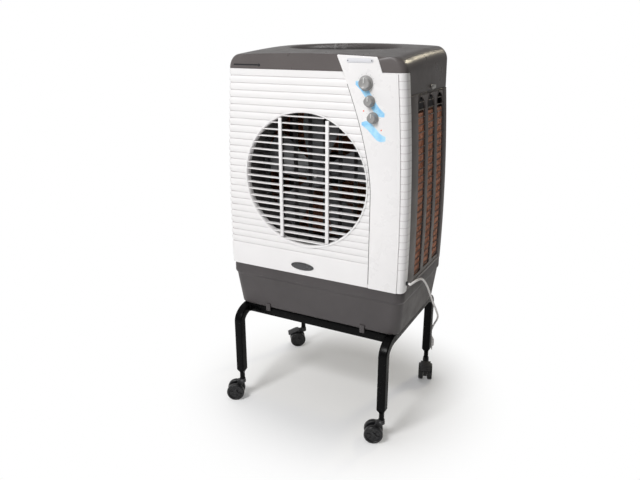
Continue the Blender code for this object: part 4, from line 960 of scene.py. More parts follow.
def body_frame():
    """Corner posts and cross rails, with a window for each pad frame and a neck under the hood."""
    post_front = RETURN_Y + 0.0025
    neck = SKIRT_BOTTOM - 0.001
    levels = [PANEL_BOTTOM + (neck - PANEL_BOTTOM) * i / 30 for i in range(31)]
    rings = [channel_ring(z, half_width(z) - 0.0005, REAR_Y, post_front, 0.030, FRAME_WALL) for z in levels]
    for z in (neck + 0.0002, PANEL_TOP - 0.006):
        half = half_width(z) - 0.009
        rings.append(channel_ring(z, half, REAR_Y - 0.008, post_front + 0.002, 0.024, FRAME_WALL / 2))
    body = loft("post_and_rail_frame", rings, "strip")
    low_z, high_z = WINDOW_Z
    side_cut = (-0.35, SIDE_WINDOW[0], low_z), (0.35, SIDE_WINDOW[1], high_z)
    rear_cut = (REAR_WINDOW[0], 0.16, low_z), (REAR_WINDOW[1], 0.22, high_z)
    cut(body, box("window", *side_cut), box("window", *rear_cut))
    round_edges(body, 0.0006, 50)
    apply_modifiers(body)
    settle(body, "cabinet", FRAME_GREY, ("body_frame",))


# ---- pads and their louvred frames --------------------------------------------------------------------
def skin_point(facing, along, z, depth):
    """A point behind the cabinet's bowed side or its flat rear: how far along, how high, how deep."""
    if facing == "rear":
        return (along, REAR_Y - depth, z)
    side = 1 if facing == "right" else -1
    return (side * (half_width(z) - depth), along, z)


def columns(facing):
    """The left edges of a frame's louvre columns, and their width."""
    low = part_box(f"{facing}_pad_frame")[0]
    edge, (count, width, margin) = (low.x, REAR_COLUMNS) if facing == "rear" else (low.y, SIDE_COLUMNS)
    return [edge + margin + i * (width + COLUMN_BAR) for i in range(count)], width


def arched_opening(left, width):
    corner = 0.006
    foot = arc((left + corner, COLUMN_FOOT + corner), corner, 180, 270, 5)
    foot += arc((left + width - corner, COLUMN_FOOT + corner), corner, 270, 360, 5)
    return foot + arc((left + width / 2, COLUMN_TOP - width / 2), width / 2, 0, 180, 28)


def bend_sheet(sheet, facing, middle_depth):
    """Lays a flat sheet against the cabinet's bowed side, in bands that are short next to the bow."""
    shape = bmesh.new()
    shape.from_mesh(sheet.data)
    for i in range(1, 45):
        level = COLUMN_FOOT + SHEET_BAND * (i - 1)
        everything = [*shape.verts, *shape.edges, *shape.faces]
        bmesh.ops.bisect_plane(shape, geom=everything, plane_co=(0, level, 0), plane_no=(0, 1, 0))
    for vertex in shape.verts:
        along, z, out = vertex.co
        vertex.co = skin_point(facing, along, z, middle_depth - out)
    bmesh.ops.recalc_face_normals(shape, faces=shape.faces)
    shape.to_mesh(sheet.data)
    shape.free()
    return sheet


def pad_frame(facing):
    """A sheet with arched openings, each filled with louvres, inside a deeper rim."""
    low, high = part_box(f"{facing}_pad_frame")
    near, far = (low.x, high.x) if facing == "rear" else (low.y, high.y)
    middle = ((near + far) / 2, (low.z + high.z) / 2)
    border = rounded_rectangle((far - near) / 2, (high.z - low.z) / 2, 0.003, middle, 4)
    lefts, width = columns(facing)
    openings = [arched_opening(left, width)[::-1] for left in lefts]
    half = PAD_FRAME_THICKNESS / 2
    sheet = plate(f"{facing}_louvred_frame", [border, *openings], -half, half, FACING_UP, 0.0014)
    parts = [bend_sheet(sheet, facing, PAD_FRAME_INSET + half)]
    for left in lefts:
        parts += louvres(facing, left, width)
        parts.append(arch_bead(facing, left, width))
    louvred = gather(f"{facing}_louvred_frame", parts)
    settle(louvred, f"{facing}_pad_door", FRAME_GREY, (f"{facing}_pad_frame",))


def arch_bead(facing, left, width):
    """A raised bead round the arched head of an opening."""
    head = arc((left + width / 2, COLUMN_TOP - width / 2), width / 2 + 0.0035, -8, 188, 30)
    path = [Vector(skin_point(facing, along, z, PAD_FRAME_INSET + 0.0002)) for along, z in head]
    return tube("bead", path, 0.0016, 10)


def louvres(facing, left, width):
    """Level slats across one opening, each with a rounded nose."""
    middle = left + width / 2
    spring = COLUMN_TOP - width / 2
    slats = []
    z = COLUMN_FOOT + 0.009
    while z < COLUMN_TOP - 0.010:
        over = max(0.0, z - spring)
        reach = math.sqrt((width / 2) ** 2 - over**2) + 0.0012
        rings = []
        for along in (middle - reach, middle + reach):
            section = ((0.0038, -0.0008), (0.0033, 0.0), (0.0038, 0.0008), (0.0075, 0.0016), (0.0077, 0.0002))
            rings.append([skin_point(facing, along, z + up, depth) for depth, up in section])
        slats.append(loft("louvre", rings))
        z += PITCH
    return slats


def window_reach(lefts, width, along, z):
    """1 well inside a louvre opening, 0 behind the bars."""
    if not COLUMN_FOOT < z < COLUMN_TOP - width / 2:
        return 0.0
    inset = max(min(along - left, left + width - along) for left in lefts)
    return blend_step(0.0, 0.006, inset)


def pad(facing):
    """Wood wool: an uneven mat with loose strands lying over its outer face."""
    low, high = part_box(f"{facing}_pad")
    ends = (low.x, high.x) if facing == "rear" else (low.y, high.y)
    lefts, width = columns(facing)
    steps, strands = (64, 560) if facing == "rear" else (36, 330)
    rings = []
    for i in range(MAT_ROWS + 1):
        z = low.z + (high.z - low.z) * i / MAT_ROWS
        outer, inner = [], []
        for j in range(steps + 1):
            along = ends[0] + (ends[1] - ends[0]) * j / steps
            lump = noise.noise(Vector((along, z, len(facing))) * 90)
            lump += 0.6 * noise.noise(Vector((along, z, 5)) * 260)
            pressed = window_reach(lefts, width, along, z)
            depth = PAD_INSET + 0.0016 + (MAT_DEPTH - PAD_INSET - 0.0016) * pressed
            outer.append(skin_point(facing, along, z, depth + 0.0009 * lump))
            inner.append(skin_point(facing, along, z, PAD_INSET + PAD_THICKNESS - 0.0015 - 0.001 * lump))
        rings.append(outer + inner[::-1])
    parts = [loft("mat", rings)]
    dice = random.Random(len(facing))
    for _ in range(strands):
        parts.append(strand(facing, dice, ends, (low.z, high.z), lefts, width))
    wool = gather(f"{facing}_wood_wool", parts)
    settle(wool, f"{facing}_pad_door", PAD, (f"{facing}_pad",), 60)


def held_between(value, low, high):
    margin = 0.001
    return min(max(value, low + margin), high - margin)


def strand(facing, dice, ends, heights, lefts, width):
    """A flat curled shaving that starts anywhere on the pad and wanders over it."""
    along, z = dice.uniform(*ends), dice.uniform(*heights)
    heading, bend = dice.uniform(0, 2 * math.pi), dice.uniform(-0.7, 0.7)
    step = dice.uniform(0.009, 0.020)
    points = []
    for _ in range(6):
        inside = held_between(along, *ends), held_between(z, *heights)
        forward = (PAD_INSET - MAT_DEPTH) * window_reach(lefts, width, *inside)
        depth = PAD_INSET - forward + dice.uniform(-0.0006, 0.0014)
        points.append(Vector(skin_point(facing, *inside, depth)))
        along += step * math.cos(heading)
        z += step * math.sin(heading)
        heading += bend
    kept = [points[0]]
    kept += [point for before, point in zip(points, points[1:]) if (point - before).length > 0.003]
    if len(kept) < 3:
        kept = [points[0], points[0] + Vector((0, 0, 0.004)), points[0] + Vector((0, 0, 0.008))]
    return tube("strand", smooth_path(kept, 2), dice.uniform(0.0005, 0.0009), 5)


def catches():
    """Turn buttons with a tapered finger, a boss and a screw, turned aside."""
    for facing in ("right", "left", "rear"):
        low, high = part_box(f"{facing}_catch")
        if facing == "rear":
            face, start, end, inner, outer = FACING_FRONT, low.x, high.x, -low.y, -high.y
        else:
            face, start, end = FACING_RIGHT, low.y, high.y
            inner, outer = (low.x, high.x) if facing == "right" else (high.x, low.x)
        away = math.copysign(1, outer - inner)
        head = (high.z - low.z) / 2
        pivot, middle_z = start + head, (low.z + high.z) / 2
        finger = [(end, middle_z - head * 0.60), (end, middle_z + head * 0.60)]
        outline = arc((pivot, middle_z), head, 60, 300, 24) + finger
        top, bottom = outer - away * 0.0008, outer - away * 0.0030
        button = plate("button", [outline], *sorted((top, bottom)), face, 0.0005)
        depths = (inner, bottom, top, top + away)
        root, underside, seat, beyond = [face @ Vector((pivot, middle_z, depth)) for depth in depths]
        boss = rod("boss", root, underside, 0.0045, 40)
        dome = [(0, 0), (0.0040, 0), (0.0038, 0.0008), (0.0024, 0.0014), (0, 0.0016)]
        screw = turned("screw", dome, seat, beyond, 40)
        catch = gather(f"{facing}_tapered_button", [button, boss, screw])
        settle(catch, f"{facing}_turn_button", ZINC, (f"{facing}_catch",))


# ---- water ----------------------------------------------------------------------------------------------
def tank_profile():
    """The tank's wall from the middle of its foot up the outside and down the inside: z, inset, radius."""
    top = PANEL_BOTTOM - 0.0004
    rows = []
    for i in range(7):
        a = math.radians(90 * i / 6)
        swell = math.sin(a)
        rows.append((TANK_BOTTOM + 0.010 * (1 - math.cos(a)), 0.024 - 0.009 * swell, 0.024 + 0.006 * swell))
    for i in range(1, 6):
        rows.append((0.356 + 0.094 * i / 5, 0.015 - 0.0105 * i / 5, 0.030))
    for i in range(1, 7):
        t = i / 6
        rows.append((COLLAR_Z + 0.014 * t, 0.0045 * (1 - blend_step(0.2, 1.0, t)), 0.030))
    rows += [(0.4655, 0.0, 0.030), (top - 0.0012, 0.0, 0.030), (top - 0.0003, 0.0004, 0.030)]
    rows += [(top, 0.0012, 0.029), (top, 0.0030, 0.027), (top - 0.0010, 0.0035, 0.0265)]
    rows += [(0.452, 0.008, 0.026), (TANK_BOTTOM + 0.012, 0.0185, 0.026)]
    rows += [(TANK_BOTTOM + 0.0052, 0.0215, 0.024), (TANK_BOTTOM + 0.0035, 0.027, 0.021)]
    return rows


def water_tank():
    """An open tray with a drain boss, the water inlet's hole and the lugs over the rails."""
    half_x, half_y = half_width(PANEL_BOTTOM) - 0.0015, REAR_Y - 0.0005
    rings = []
    for z, inset, radius in tank_profile():
        rings.append(at_height(rounded_rectangle(half_x - inset, half_y - inset, radius, steps=12), z))
    tank = loft("tank_tray", rings)
    x, _, z = middle_of("drain_plug")
    boss = [(DRAIN_RADIUS, 0), (0.0145, 0), (0.0140, 0.0100), (0.0134, 0.0125), (0.0125, 0.0130)]
    boss = turned("boss", [*boss, (DRAIN_RADIUS, 0.0130)], (x, 0.1795, z), (x, 1, z))
    cut(tank, rod("bore", (x, 0.15, z), (x, 0.2, z), DRAIN_RADIUS, 48))
    y, z = middle_of("float_valve")[1], JOINTS["float_rise"]["pos_m"][2]
    cut(tank, rod("bore", (-0.32, y, z), (-0.25, y, z), 0.0082, 48))
    parts = [tank, boss]
    for x in (-LUG_X, LUG_X):
        for side in (-1, 1):
            near, far = sorted(side * y for y in LUG_Y)
            parts.append(box("lug", (x - 0.008, near, LUG_Z[0]), (x + 0.008, far, LUG_Z[1]), 0.0014))
    settle(gather("tank_tray", parts), "cabinet", TANK_GREY, ("water_tank",))


def drain_plug():
    """A barbed stopper with a flange and a finger grip."""
    low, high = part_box("drain_plug")
    x, _, z = middle_of("drain_plug")
    face = high.y - 0.008
    profile = [(0, 0), (0.0070, 0), (0.0078, 0.0010)]
    for i in range(4):
        profile += [(0.0078, 0.006 + 0.005 * i), (0.0072, 0.007 + 0.005 * i), (0.0078, 0.008 + 0.005 * i)]
    profile += [(0.0078, 0.0258), (0.0124, 0.0258), (0.013, 0.0264), (0.013, 0.0290)]
    profile += [(0.0122, 0.0298), (0, 0.0298)]
    stopper = turned("stopper", profile, (x, low.y, z), (x, 1, z))
    grip = box("grip", (x - 0.002, face - 0.001, z - 0.009), (x + 0.002, high.y, z + 0.009), 0.0009)
    plug = gather("finned_drain_plug", [stopper, grip])
    settle(plug, "tank_drain", BLACK, ("drain_plug",))


def float_ball():
    """Two moulded halves with a raised seam."""
    low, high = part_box("float_ball")
    middle, radius = (low + high) / 2, (high.z - low.z) / 2
    profile = []
    for i in range(49):
        a = math.radians(-90 + 180 * i / 48)
        swell = 1.02 if abs(i - 24) < 1 else 1.0
        profile.append((max(0.0, radius * swell * math.cos(a)) if 0 < i < 48 else 0.0, radius * math.sin(a)))
    sphere = turned("seamed_float_ball", profile, middle, middle + Vector((0, 0, 1)), 72)
    settle(sphere, "inlet_float", ORANGE, ("float_ball",))


def pump_and_hose():
    """A submersible pump, and its hose up to the distributor."""
    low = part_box("water_pump")[0]
    x, y = low.x + 0.034, low.y + 0.034
    profile = [(0, 0), (0.0325, 0), (0.0333, 0.001), (0.0338, 0.021), (0.0300, 0.025), (0.0290, 0.027)]
    profile += [(0.0272, 0.068), (0.0262, 0.073), (0.0205, 0.0805), (0.0185, 0.0818), (0, 0.082)]

    def slots(angle, _, distance):
        """Intake slots around the foot."""
        return 1 - 0.045 * (math.cos(20 * angle) > 0.2) * (0.003 < distance < 0.019)

    rows = round_over(profile, 0.0010, 2)
    body = turned("pump_body", rows, (x, y, low.z), (x, y, 9), 120, slots)
    hose_x = middle_of("pump_hose")[0]
    riser = (hose_x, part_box("pump_hose")[0].y + 0.007)
    nozzle = low.z + 0.012
    outlet = rod("outlet", (x + 0.02, y + 0.01, nozzle), (*riser, nozzle), 0.0065, 32)
    spigot = rod("spigot", (*riser, nozzle - 0.0065), (*riser, 0.400), 0.0055, 32)
    settle(gather("slotted_pump", [body, outlet, spigot]), "cabinet", BLACK, ("water_pump",))
    rise = [(*riser, z) for z in (0.402, 0.60, 0.85, 1.02)]
    over = [(riser[1] + 0.012, 1.058), (0.158, 1.066), (0.163, 1.055), (0.1635, 1.024)]
    over = [(hose_x, y, z) for y, z in over]
    hose = tube("smooth_pump_hose", smooth_path(rise + over, 10), 0.0069, 20)
    settle(hose, "cabinet", HOSE, ("pump_hose",))


# ---- fan ------------------------------------------------------------------------------------------------
def on_fan_axis(y):
    return Vector((OPENING_X, y, OPENING_Z))


def fan_shroud():
    """A wall with a duct round the fan."""
    low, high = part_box("fan_shroud")
    middle = middle_of("fan_shroud")[::2]
    outline = rounded_rectangle((high.x - low.x) / 2, (high.z - low.z) / 2, 0.02, middle, 8)
    hole = arc((OPENING_X, OPENING_Z), OPENING_RADIUS + 0.001, 0, 360, 128)[:-1][::-1]
    wall = plate("wall", [outline, hole], -low.y - 0.003, -low.y, FACING_FRONT, 0.0005)
    inner, outer = OPENING_RADIUS, OPENING_RADIUS + 0.003
    profile = [(outer, 0), (outer, 0.047), (outer + 0.0008, 0.050), (inner, 0.050), (inner, 0.002)]
    duct = turned("duct", [*profile, (inner + 0.001, 0)], on_fan_axis(low.y + 0.0005), on_fan_axis(9), 128)
    settle(gather("shroud_duct", [wall, duct]), "cabinet", INNER_GREY, ("fan_shroud",))


def blade_ring(radius, half_chord, pitch):
    """A blade's section at a radius: thin, cambered, pitched and swept back."""
    tilt = math.radians(pitch)
    sweep_angle = 0.10 * (radius / 0.193) ** 2
    ring = []
    for i in range(24):
        a = 2 * math.pi * i / 24
        along, thick = math.cos(a), 0.0012 * math.sin(a)
        across = along * half_chord * math.cos(tilt) - thick * math.sin(tilt)
        depth = along * half_chord * math.sin(tilt) * 0.62 + thick * math.cos(tilt) + 0.004 * (1 - along**2)
        turn = across / radius + sweep_angle
        ring.append(Vector((radius * math.sin(turn), depth, radius * math.cos(turn))))
    return ring


def fan():
    """Five swept blades on a hub with a stepped nose."""
    middle = Vector(JOINTS["fan_spin"]["pos_m"])
    profile = [(0, 0), (0.024, 0), (0.030, 0.0012), (0.0350, 0.0050), (0.038, 0.010), (0.040, 0.0435)]
    profile += [(0.0345, 0.044), (0.032, 0.012), (0, 0.012)]
    start = middle - Vector((0, 0.022, 0))
    rear = start + Vector((0, 1, 0))
    hub = turned("hub", round_over(profile, 0.0012, 3), start, rear, 96)
    sleeve = [(0.0075, 0), (0.0105, 0), (0.0105, 0.032), (0.0075, 0.032)]
    hub_cap = turned("cap", sleeve, start + Vector((0, 0.012, 0)), rear, 48)
    stations = [(0.037, 0.030, 50), (0.09, 0.046, 38), (0.145, 0.060, 28), (0.193, 0.066, 22)]
    parts = [hub, hub_cap]
    for i in range(FAN_BLADES):
        rings = []
        for (r0, c0, p0), (r1, c1, p1) in zip(stations, stations[1:]):
            for k in range(6):
                t = k / 6
                rings.append(blade_ring(r0 + (r1 - r0) * t, c0 + (c1 - c0) * t, p0 + (p1 - p0) * t))
        rings.append(blade_ring(0.191, 0.0655, 22.2))
        rings.append(blade_ring(0.193, 0.0615, 22))
        blade = loft("blade", rings)
        turn = Matrix.Rotation(math.radians(360 * i / FAN_BLADES), 4, "Y")
        blade.data.transform(Matrix.Translation(middle) @ turn)
        parts.append(blade)
    settle(gather("five_blade_fan", parts), "fan_rotor", FAN_GREY, ("fan",))


def fan_motor():
    """A stepped case with cooling fins."""
    low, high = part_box("fan_motor")
    length = high.y - low.y
    profile = [(0, 0), (0.012, 0), (0.012, 0.006), (0.034, 0.010), (0.048, 0.018), (0.052, 0.0205)]
    profile += [(0.052, length - 0.014), (0.047, length - 0.012), (0.034, length - 0.002)]
    profile += [(0.034, length), (0, length)]

    def fins(angle, _, distance):
        """Shallow cooling fins around the middle of the case."""
        return 1 - 0.035 * (math.cos(36 * angle) > 0) * (0.024 < distance < length - 0.018)

    rows = []
    for start, end in zip(profile, profile[1:]):
        rows.append(start)
        if start[0] == end[0] == 0.052:
            rows += [(0.052, 0.0235), (0.052, 0.0245), (0.052, length - 0.0185), (0.052, length - 0.0175)]
    rows.append(profile[-1])
    case = turned("finned_motor", rows, on_fan_axis(low.y), on_fan_axis(9), 144, fins)
    cut(case, rod("bore", on_fan_axis(low.y - 0.01), on_fan_axis(low.y + 0.034), 0.0045, 32))
    settle(case, "cabinet", MOTOR, ("fan_motor",))


def louvre_frame():
    """The ring behind the grille, and the shelf that carries the vanes' pins."""
    low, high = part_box("louvre_frame")
    (inner, outer), length = VANE_RING, high.y - low.y
    profile = [(inner, 0.0008), (inner + 0.0008, 0), (outer - 0.0008, 0), (outer, 0.0008)]
    profile += [(outer, length), (inner, length)]
    ring = turned("ring", profile, on_fan_axis(low.y), on_fan_axis(9), 128)
    shelf_low = (OPENING_X - 0.03, low.y + 0.004, VANE_SHELF[0])
    shelf_high = (OPENING_X + 0.03, high.y - 0.004, VANE_SHELF[1])
    shelf = box("shelf", shelf_low, shelf_high, 0.0012)
    pivot_y = JOINTS["vane_4_swing"]["pos_m"][1]
    bore = (OPENING_X, pivot_y, 0.56), (OPENING_X, pivot_y, 0.60)
    cut(shelf, rod("bore", *bore, 0.0024, 24))
    settle(gather("vane_ring", [ring, shelf]), "cabinet", INNER_GREY, ("louvre_frame",))


def swing_vanes():
    """Upright blades with thin rounded edges, their pins and the tabs for the link bar."""
    link_z, tab_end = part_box("vane_link_bar")[0].z, middle_of("vane_link_bar")[1]
    for number in range(1, 8):
        low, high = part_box(f"swing_vane_{number}")
        x, pivot_y, _ = JOINTS[f"vane_{number}_swing"]["pos_m"]
        off = abs(x - OPENING_X)
        half = math.sqrt(VANE_REACH**2 - (off + 0.010) ** 2) - 0.001
        section = []
        for i in range(20):
            a = 2 * math.pi * i / 20
            section.append((x + 0.0021 * math.sin(a), pivot_y + 0.0135 * math.cos(a)))
        rings = []
        for inset, up in ((0.90, 0.0), (0.96, 0.001), (1.0, 0.003)):
            smaller = [(x + (u - x) * inset, pivot_y + (v - pivot_y) * inset) for u, v in section]
            rings.append(at_height(smaller, OPENING_Z - half + up))
        rings += [[(u, v, 2 * OPENING_Z - z) for u, v, z in ring] for ring in rings[::-1]]
        blade = loft("blade", rings)
        pin = rod("pin", (x, pivot_y, low.z), (x, pivot_y, high.z), 0.0019, 20)
        tab_z = link_z + 0.003
        tab_low, tab_high = (x - 0.004, pivot_y + 0.010, tab_z), (x + 0.004, tab_end + 0.004, tab_z + 0.0025)
        tab = box("tab", tab_low, tab_high, 0.0005)
        cut(tab, rod("eye", (x, tab_end, tab_z - 0.01), (x, tab_end, tab_z + 0.01), 0.0019, 20))
        vane = gather(f"slim_vane_{number}", [blade, pin, tab])
        settle(vane, f"vane_{number}", VANE_PAINTED_SHADE, (f"swing_vane_{number}",))


# ---- power cord -------------------------------------------------------------------------------------------
def power_cord():
    """The gland, and the cord that hangs from it to the plug."""
    _, y, z = middle_of("cord_gland")
    start_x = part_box("cord_gland")[1].x - 0.007
    profile = [(0.0038, 0), (0.0042, 0), (0.0042, 0.0104), (0.0068, 0.0106), (0.0068, 0.0124)]
    profile += [(0.0060, 0.0130), (0.0045, 0.0132), (0.0042, 0.0168), (0.0038, 0.0170)]
    gland = turned("ribbed_cord_gland", profile, (start_x - 0.010, y, z), (9, y, z), 48)
    settle(gland, "cabinet", BLACK, ("cord_gland",))
    points = [(start_x + out, y, z) for out in (-0.016, 0, 0.009, 0.014)] + [(0.324, -0.148, 0.527)]
    points += [(0.324, -0.095, 0.514), (0.318, -0.035, 0.478), (0.312, 0.025, 0.430), (0.306, 0.100, 0.357)]
    points += [(0.301, 0.170, 0.293), (0.290, 0.233, 0.236), (0.272, 0.250, 0.195), (0.264, 0.251, 0.170)]
    points += [(0.264, 0.251, 0.160), (0.264, 0.251, 0.150)]
    cord = tube("smooth_power_cord", smooth_path(points, 10), 0.0034, 20)
    settle(cord, "cabinet", CORD_WHITE, ("power_cord",))


def power_plug():
    """A round moulded plug with a ribbed strain relief and two pins."""
    low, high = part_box("power_plug")
    x, y, _ = middle_of("power_plug")
    profile = [(0, 0), (0.0046, 0)]
    for i in range(3):
        at = 0.0014 + 0.0034 * i
        swell = 0.0050 + 0.0018 * i
        neck = swell - 0.0008
        profile += [(swell, at), (swell, at + 0.0016), (neck, at + 0.0018), (neck, at + 0.0028)]
    profile += [(0.0104, 0.0122), (0.0120, 0.0150), (0.0125, 0.0200), (0.0125, 0.0385)]
    profile += [(0.0119, 0.0396), (0, 0.0396)]
    body = turned("ribbed_power_plug", profile, (x, y, high.z), (x, y, -9), 64)
    settle(body, "cabinet", CORD_WHITE, ("power_plug",))
    pins = []
    for side in (-1, 1):
        at = x + side * 0.006
        pins.append(rod("pin", (at, y, high.z - 0.038), (at, y, low.z + 0.0010), 0.002, 24))
        pins.append(rod("tip", (at, y, low.z + 0.0010), (at, y, low.z), 0.002, 24, 0.0012))
    settle(gather("plug_pins", pins), "cabinet", ZINC)


# ---- stand ------------------------------------------------------------------------------------------
# Down a leg's end: how round the section has become, and how far it is below the bend.
SWAGED_NECK = ((0.0, 0.001), (0.25, 0.004), (0.6, 0.009), (0.9, 0.012), (1.0, 0.015), (1.0, 0.0352),
               (0.95, 0.0365))


def side_hoop(x):
    """A leg, a side rail and another leg, bent from one square tube."""
    bend = []
    for i in range(17):
        a = math.radians(90 * i / 16)
        bend.append((RAIL_Y + (LEG_Y - RAIL_Y) * math.sin(a), RAIL_Z - SHOULDER_DROP * (1 - math.cos(a))))
    half_path = bend + [(LEG_Y, LEG_FOOT + 0.013)]
    path = [Vector((x, -y, z)) for y, z in half_path[::-1]] + [Vector((x, y, z)) for y, z in half_path]
    half = TUBE / 2 - 0.0002
    section = rounded_rectangle(half, half, 0.0038, steps=5)
    rings = []
    for i, place in enumerate(path):
        along = (path[min(i + 1, len(path) - 1)] - path[max(i - 1, 0)]).normalized()
        up = Vector((1, 0, 0)).cross(along)
        rings.append([place + Vector((u, 0, 0)) + up * v for u, v in section])
    return loft("hoop", [*socket_rings(rings[0])[::-1], *rings, *socket_rings(rings[-1])])


def socket_rings(square):
    """From the square tube down over a swaged neck to the round socket, at one end of a hoop."""
    middle = sum(square, Vector()) / len(square)
    rings = []
    for t, drop in SWAGED_NECK:
        ring = []
        for point in square:
            flat = Vector((point.x - middle.x, point.y - middle.y, 0))
            size = flat.length * (1 - t) + SOCKET_RADIUS * t
            ring.append(Vector((middle.x, middle.y, middle.z - drop)) + flat.normalized() * size)
        rings.append(ring)
    return rings


def stand():
    """Two bent side hoops and two cross rails, with a weld bead round each joint."""
    parts = []
    for x in (-LEG_X, LEG_X):
        bores = [rod("bore", (x, y, 0.07), (x, y, 0.15), 0.0056, 32) for y in (-LEG_Y, LEG_Y)]
        parts.append(cut(side_hoop(x), *bores))
    half = TUBE / 2
    reach = LEG_X - half + 0.003
    for y in (-RAIL_Y, RAIL_Y):
        low, high = (-reach, y - half, RAIL_Z - half), (reach, y + half, RAIL_Z + half)
        parts.append(box("cross_rail", low, high, 0.0032))
        for end in (-1, 1):
            x = end * (LEG_X - half)
            outline = rounded_rectangle(half, half, 0.0035, steps=3)
            bead = [Vector((x, y + u, RAIL_Z + v)) for u, v in outline]
            parts.append(tube("weld", bead + bead[:2], 0.0017, 8))
    settle(gather("tube_stand", parts), "cabinet", STEEL, ("stand_frame",), 40)


# ---- casters ----------------------------------------------------------------------------------------
def caster_place(name):
    """From the caster's own frame, where the wheels trail along +X, to its leg."""
    pivot = Vector(JOINTS[f"{name}_swivel"]["pos_m"])
    axle = Vector(JOINTS[f"{name}_roll"]["pos_m"])
    turn = math.atan2(axle.y - pivot.y, axle.x - pivot.x)
    return Matrix.Translation((pivot.x, pivot.y, 0)) @ Matrix.Rotation(turn, 4, "Z")


def caster_housing(name):
    """A collar around the stem, an arm with a rounded back, and the web between the wheels."""
    place = caster_place(name)
    collar = [(0, 0), (0.0102, 0), (0.011, 0.0008), (0.011, 0.0085), (0.0096, 0.0100), (0.0096, 0.0118)]
    collar += [(0.0104, 0.0124), (0.0104, 0.0146), (0.0100, 0.0150), (0, 0.0150)]
    collar = turned("collar", collar, (0, 0, 0.060), (0, 0, 9), 64)
    stem = rod("stem", (0, 0, 0.07), (0, 0, 0.128), 0.005, 32)
    back = [(0.0030, 0.040), (0.0020, 0.046), (0.0020, 0.0695), (0.0030, 0.0705), (0.0160, 0.0705)]
    back += [(0.0172, 0.0690), (0.0185, 0.0560), (0.0240, 0.0488)]
    web = arc((TRAIL, WHEEL_RADIUS), 0.019, 80, -195, 40)
    outline = back[::-1] + web[::-1]
    body = plate("web", [outline], -WEB, WEB, FACING_FRONT, 0.0008)
    cut(body, rod("bore", (TRAIL, -0.02, WHEEL_RADIUS), (TRAIL, 0.02, WHEEL_RADIUS), 0.0045, 32))
    cut(body, rod("bore", (0.012, -0.02, 0.066), (0.012, 0.02, 0.066), 0.0018, 16))
    housing = gather(f"twin_wheel_fork_{name}", [collar, stem, body])
    housing.data.transform(place)
    settle(housing, f"caster_{name}", WEB_GREY, (f"caster_housing_{name}",))


def caster_wheels(name):
    """Two wheels with rounded treads and dished, ribbed outer faces, on one axle."""
    place = caster_place(name)
    width, r = 0.017, WHEEL_RADIUS
    profile = [(0, 0.0008), (0.0196, 0.0008), (0.0215, 0.0), (0.0262, 0.0), (0.0288, 0.0010)]
    profile += [(0.0298, 0.0030), (r, 0.0055), (r, 0.0115), (0.0298, 0.0140), (0.0288, 0.0160)]
    profile += [(0.0262, width), (0.0232, width), (0.0222, 0.0160), (0.0215, 0.0136), (0.0110, 0.0128)]
    profile += [(0.0090, 0.0136), (0.0082, 0.0160), (0.0060, 0.0168), (0, 0.0168)]

    def spokes(angle, radius, distance):
        """Low ribs across the dished face."""
        return 1 - 0.02 * (math.cos(8 * angle) > 0.6) * (0.0100 < radius < 0.0218) * (distance > 0.01)

    parts = [rod("axle", (TRAIL, -0.0095, r), (TRAIL, 0.0095, r), 0.004, 32)]
    for side in (-1, 1):
        start = Vector((TRAIL, side * 0.0075, r))
        outside = start + Vector((0, side, 0))
        parts.append(turned("wheel", round_over(profile, 0.0008, 2), start, outside, 96, spokes))
        for i in range(6):
            a = math.radians(60 * i + 15)
            ray = Vector((math.cos(a), 0, math.sin(a)))
            cross = ray.cross(Vector((0, 1, 0)))
            rib = []
            for distance in (0.0100, 0.0217):
                foot = start + ray * distance + Vector((0, side * 0.0120, 0))
                crest = foot + Vector((0, side * 0.0028, 0))
                wide, slim = cross * 0.0011, cross * 0.0007
                rib.append([foot - wide, foot + wide, crest + slim, crest - slim])
            parts.append(loft("rib", rib))
    wheels = gather(f"dished_wheels_{name}", parts)
    wheels.data.transform(place)
    settle(wheels, f"wheels_{name}", TREAD, (f"caster_wheels_{name}",))


def brake_lever(name):
    """A foot pedal with three grip ridges."""
    place = caster_place(name)
    outline = [(0.0192, 0.0645), (0.0192, 0.0685), (0.030, 0.0685), (0.0625, 0.0545), (0.0610, 0.0510)]
    outline += [(0.030, 0.0640)]
    parts = [plate("pedal", [outline], -0.018, 0.018, FACING_FRONT, 0.0010)]
    for side in (-1, 1):
        edges = sorted((side * 0.0072, side * 0.0105))
        parts.append(box("ear", (0.0085, edges[0], 0.0632), (0.022, edges[1], 0.0688), 0.0008))
    parts.append(rod("pin", (0.012, -0.009, 0.066), (0.012, 0.009, 0.066), 0.0014, 20))
    for i in range(3):
        x = 0.044 + 0.006 * i
        z = 0.0685 - 0.014 * (x - 0.030) / 0.0325 + 0.0001
        parts.append(rod("ridge", (x, -0.0155, z), (x, 0.0155, z), 0.0011, 16))
    lever = gather(f"ridged_brake_pedal_{name}", parts)
    lever.data.transform(place)
    settle(lever, f"brake_{name}", BLACK, (f"brake_lever_{name}",))


def dressed_nodes():
    """The plain inner parts, which keep their own shapes."""
    for node in ("fan_shaft", "motor_bracket", "swing_motor", "float_arm"):
        dress(node, ZINC)
    dress("float_valve", SATIN_WHITE)
    # The link bar takes the vanes' painted shade.
    dress("vane_link_bar", VANE_PAINTED_SHADE)
    for node in ("water_distributor", "speed_switch", "pump_switch", "swing_switch"):
        dress(node, BLACK)


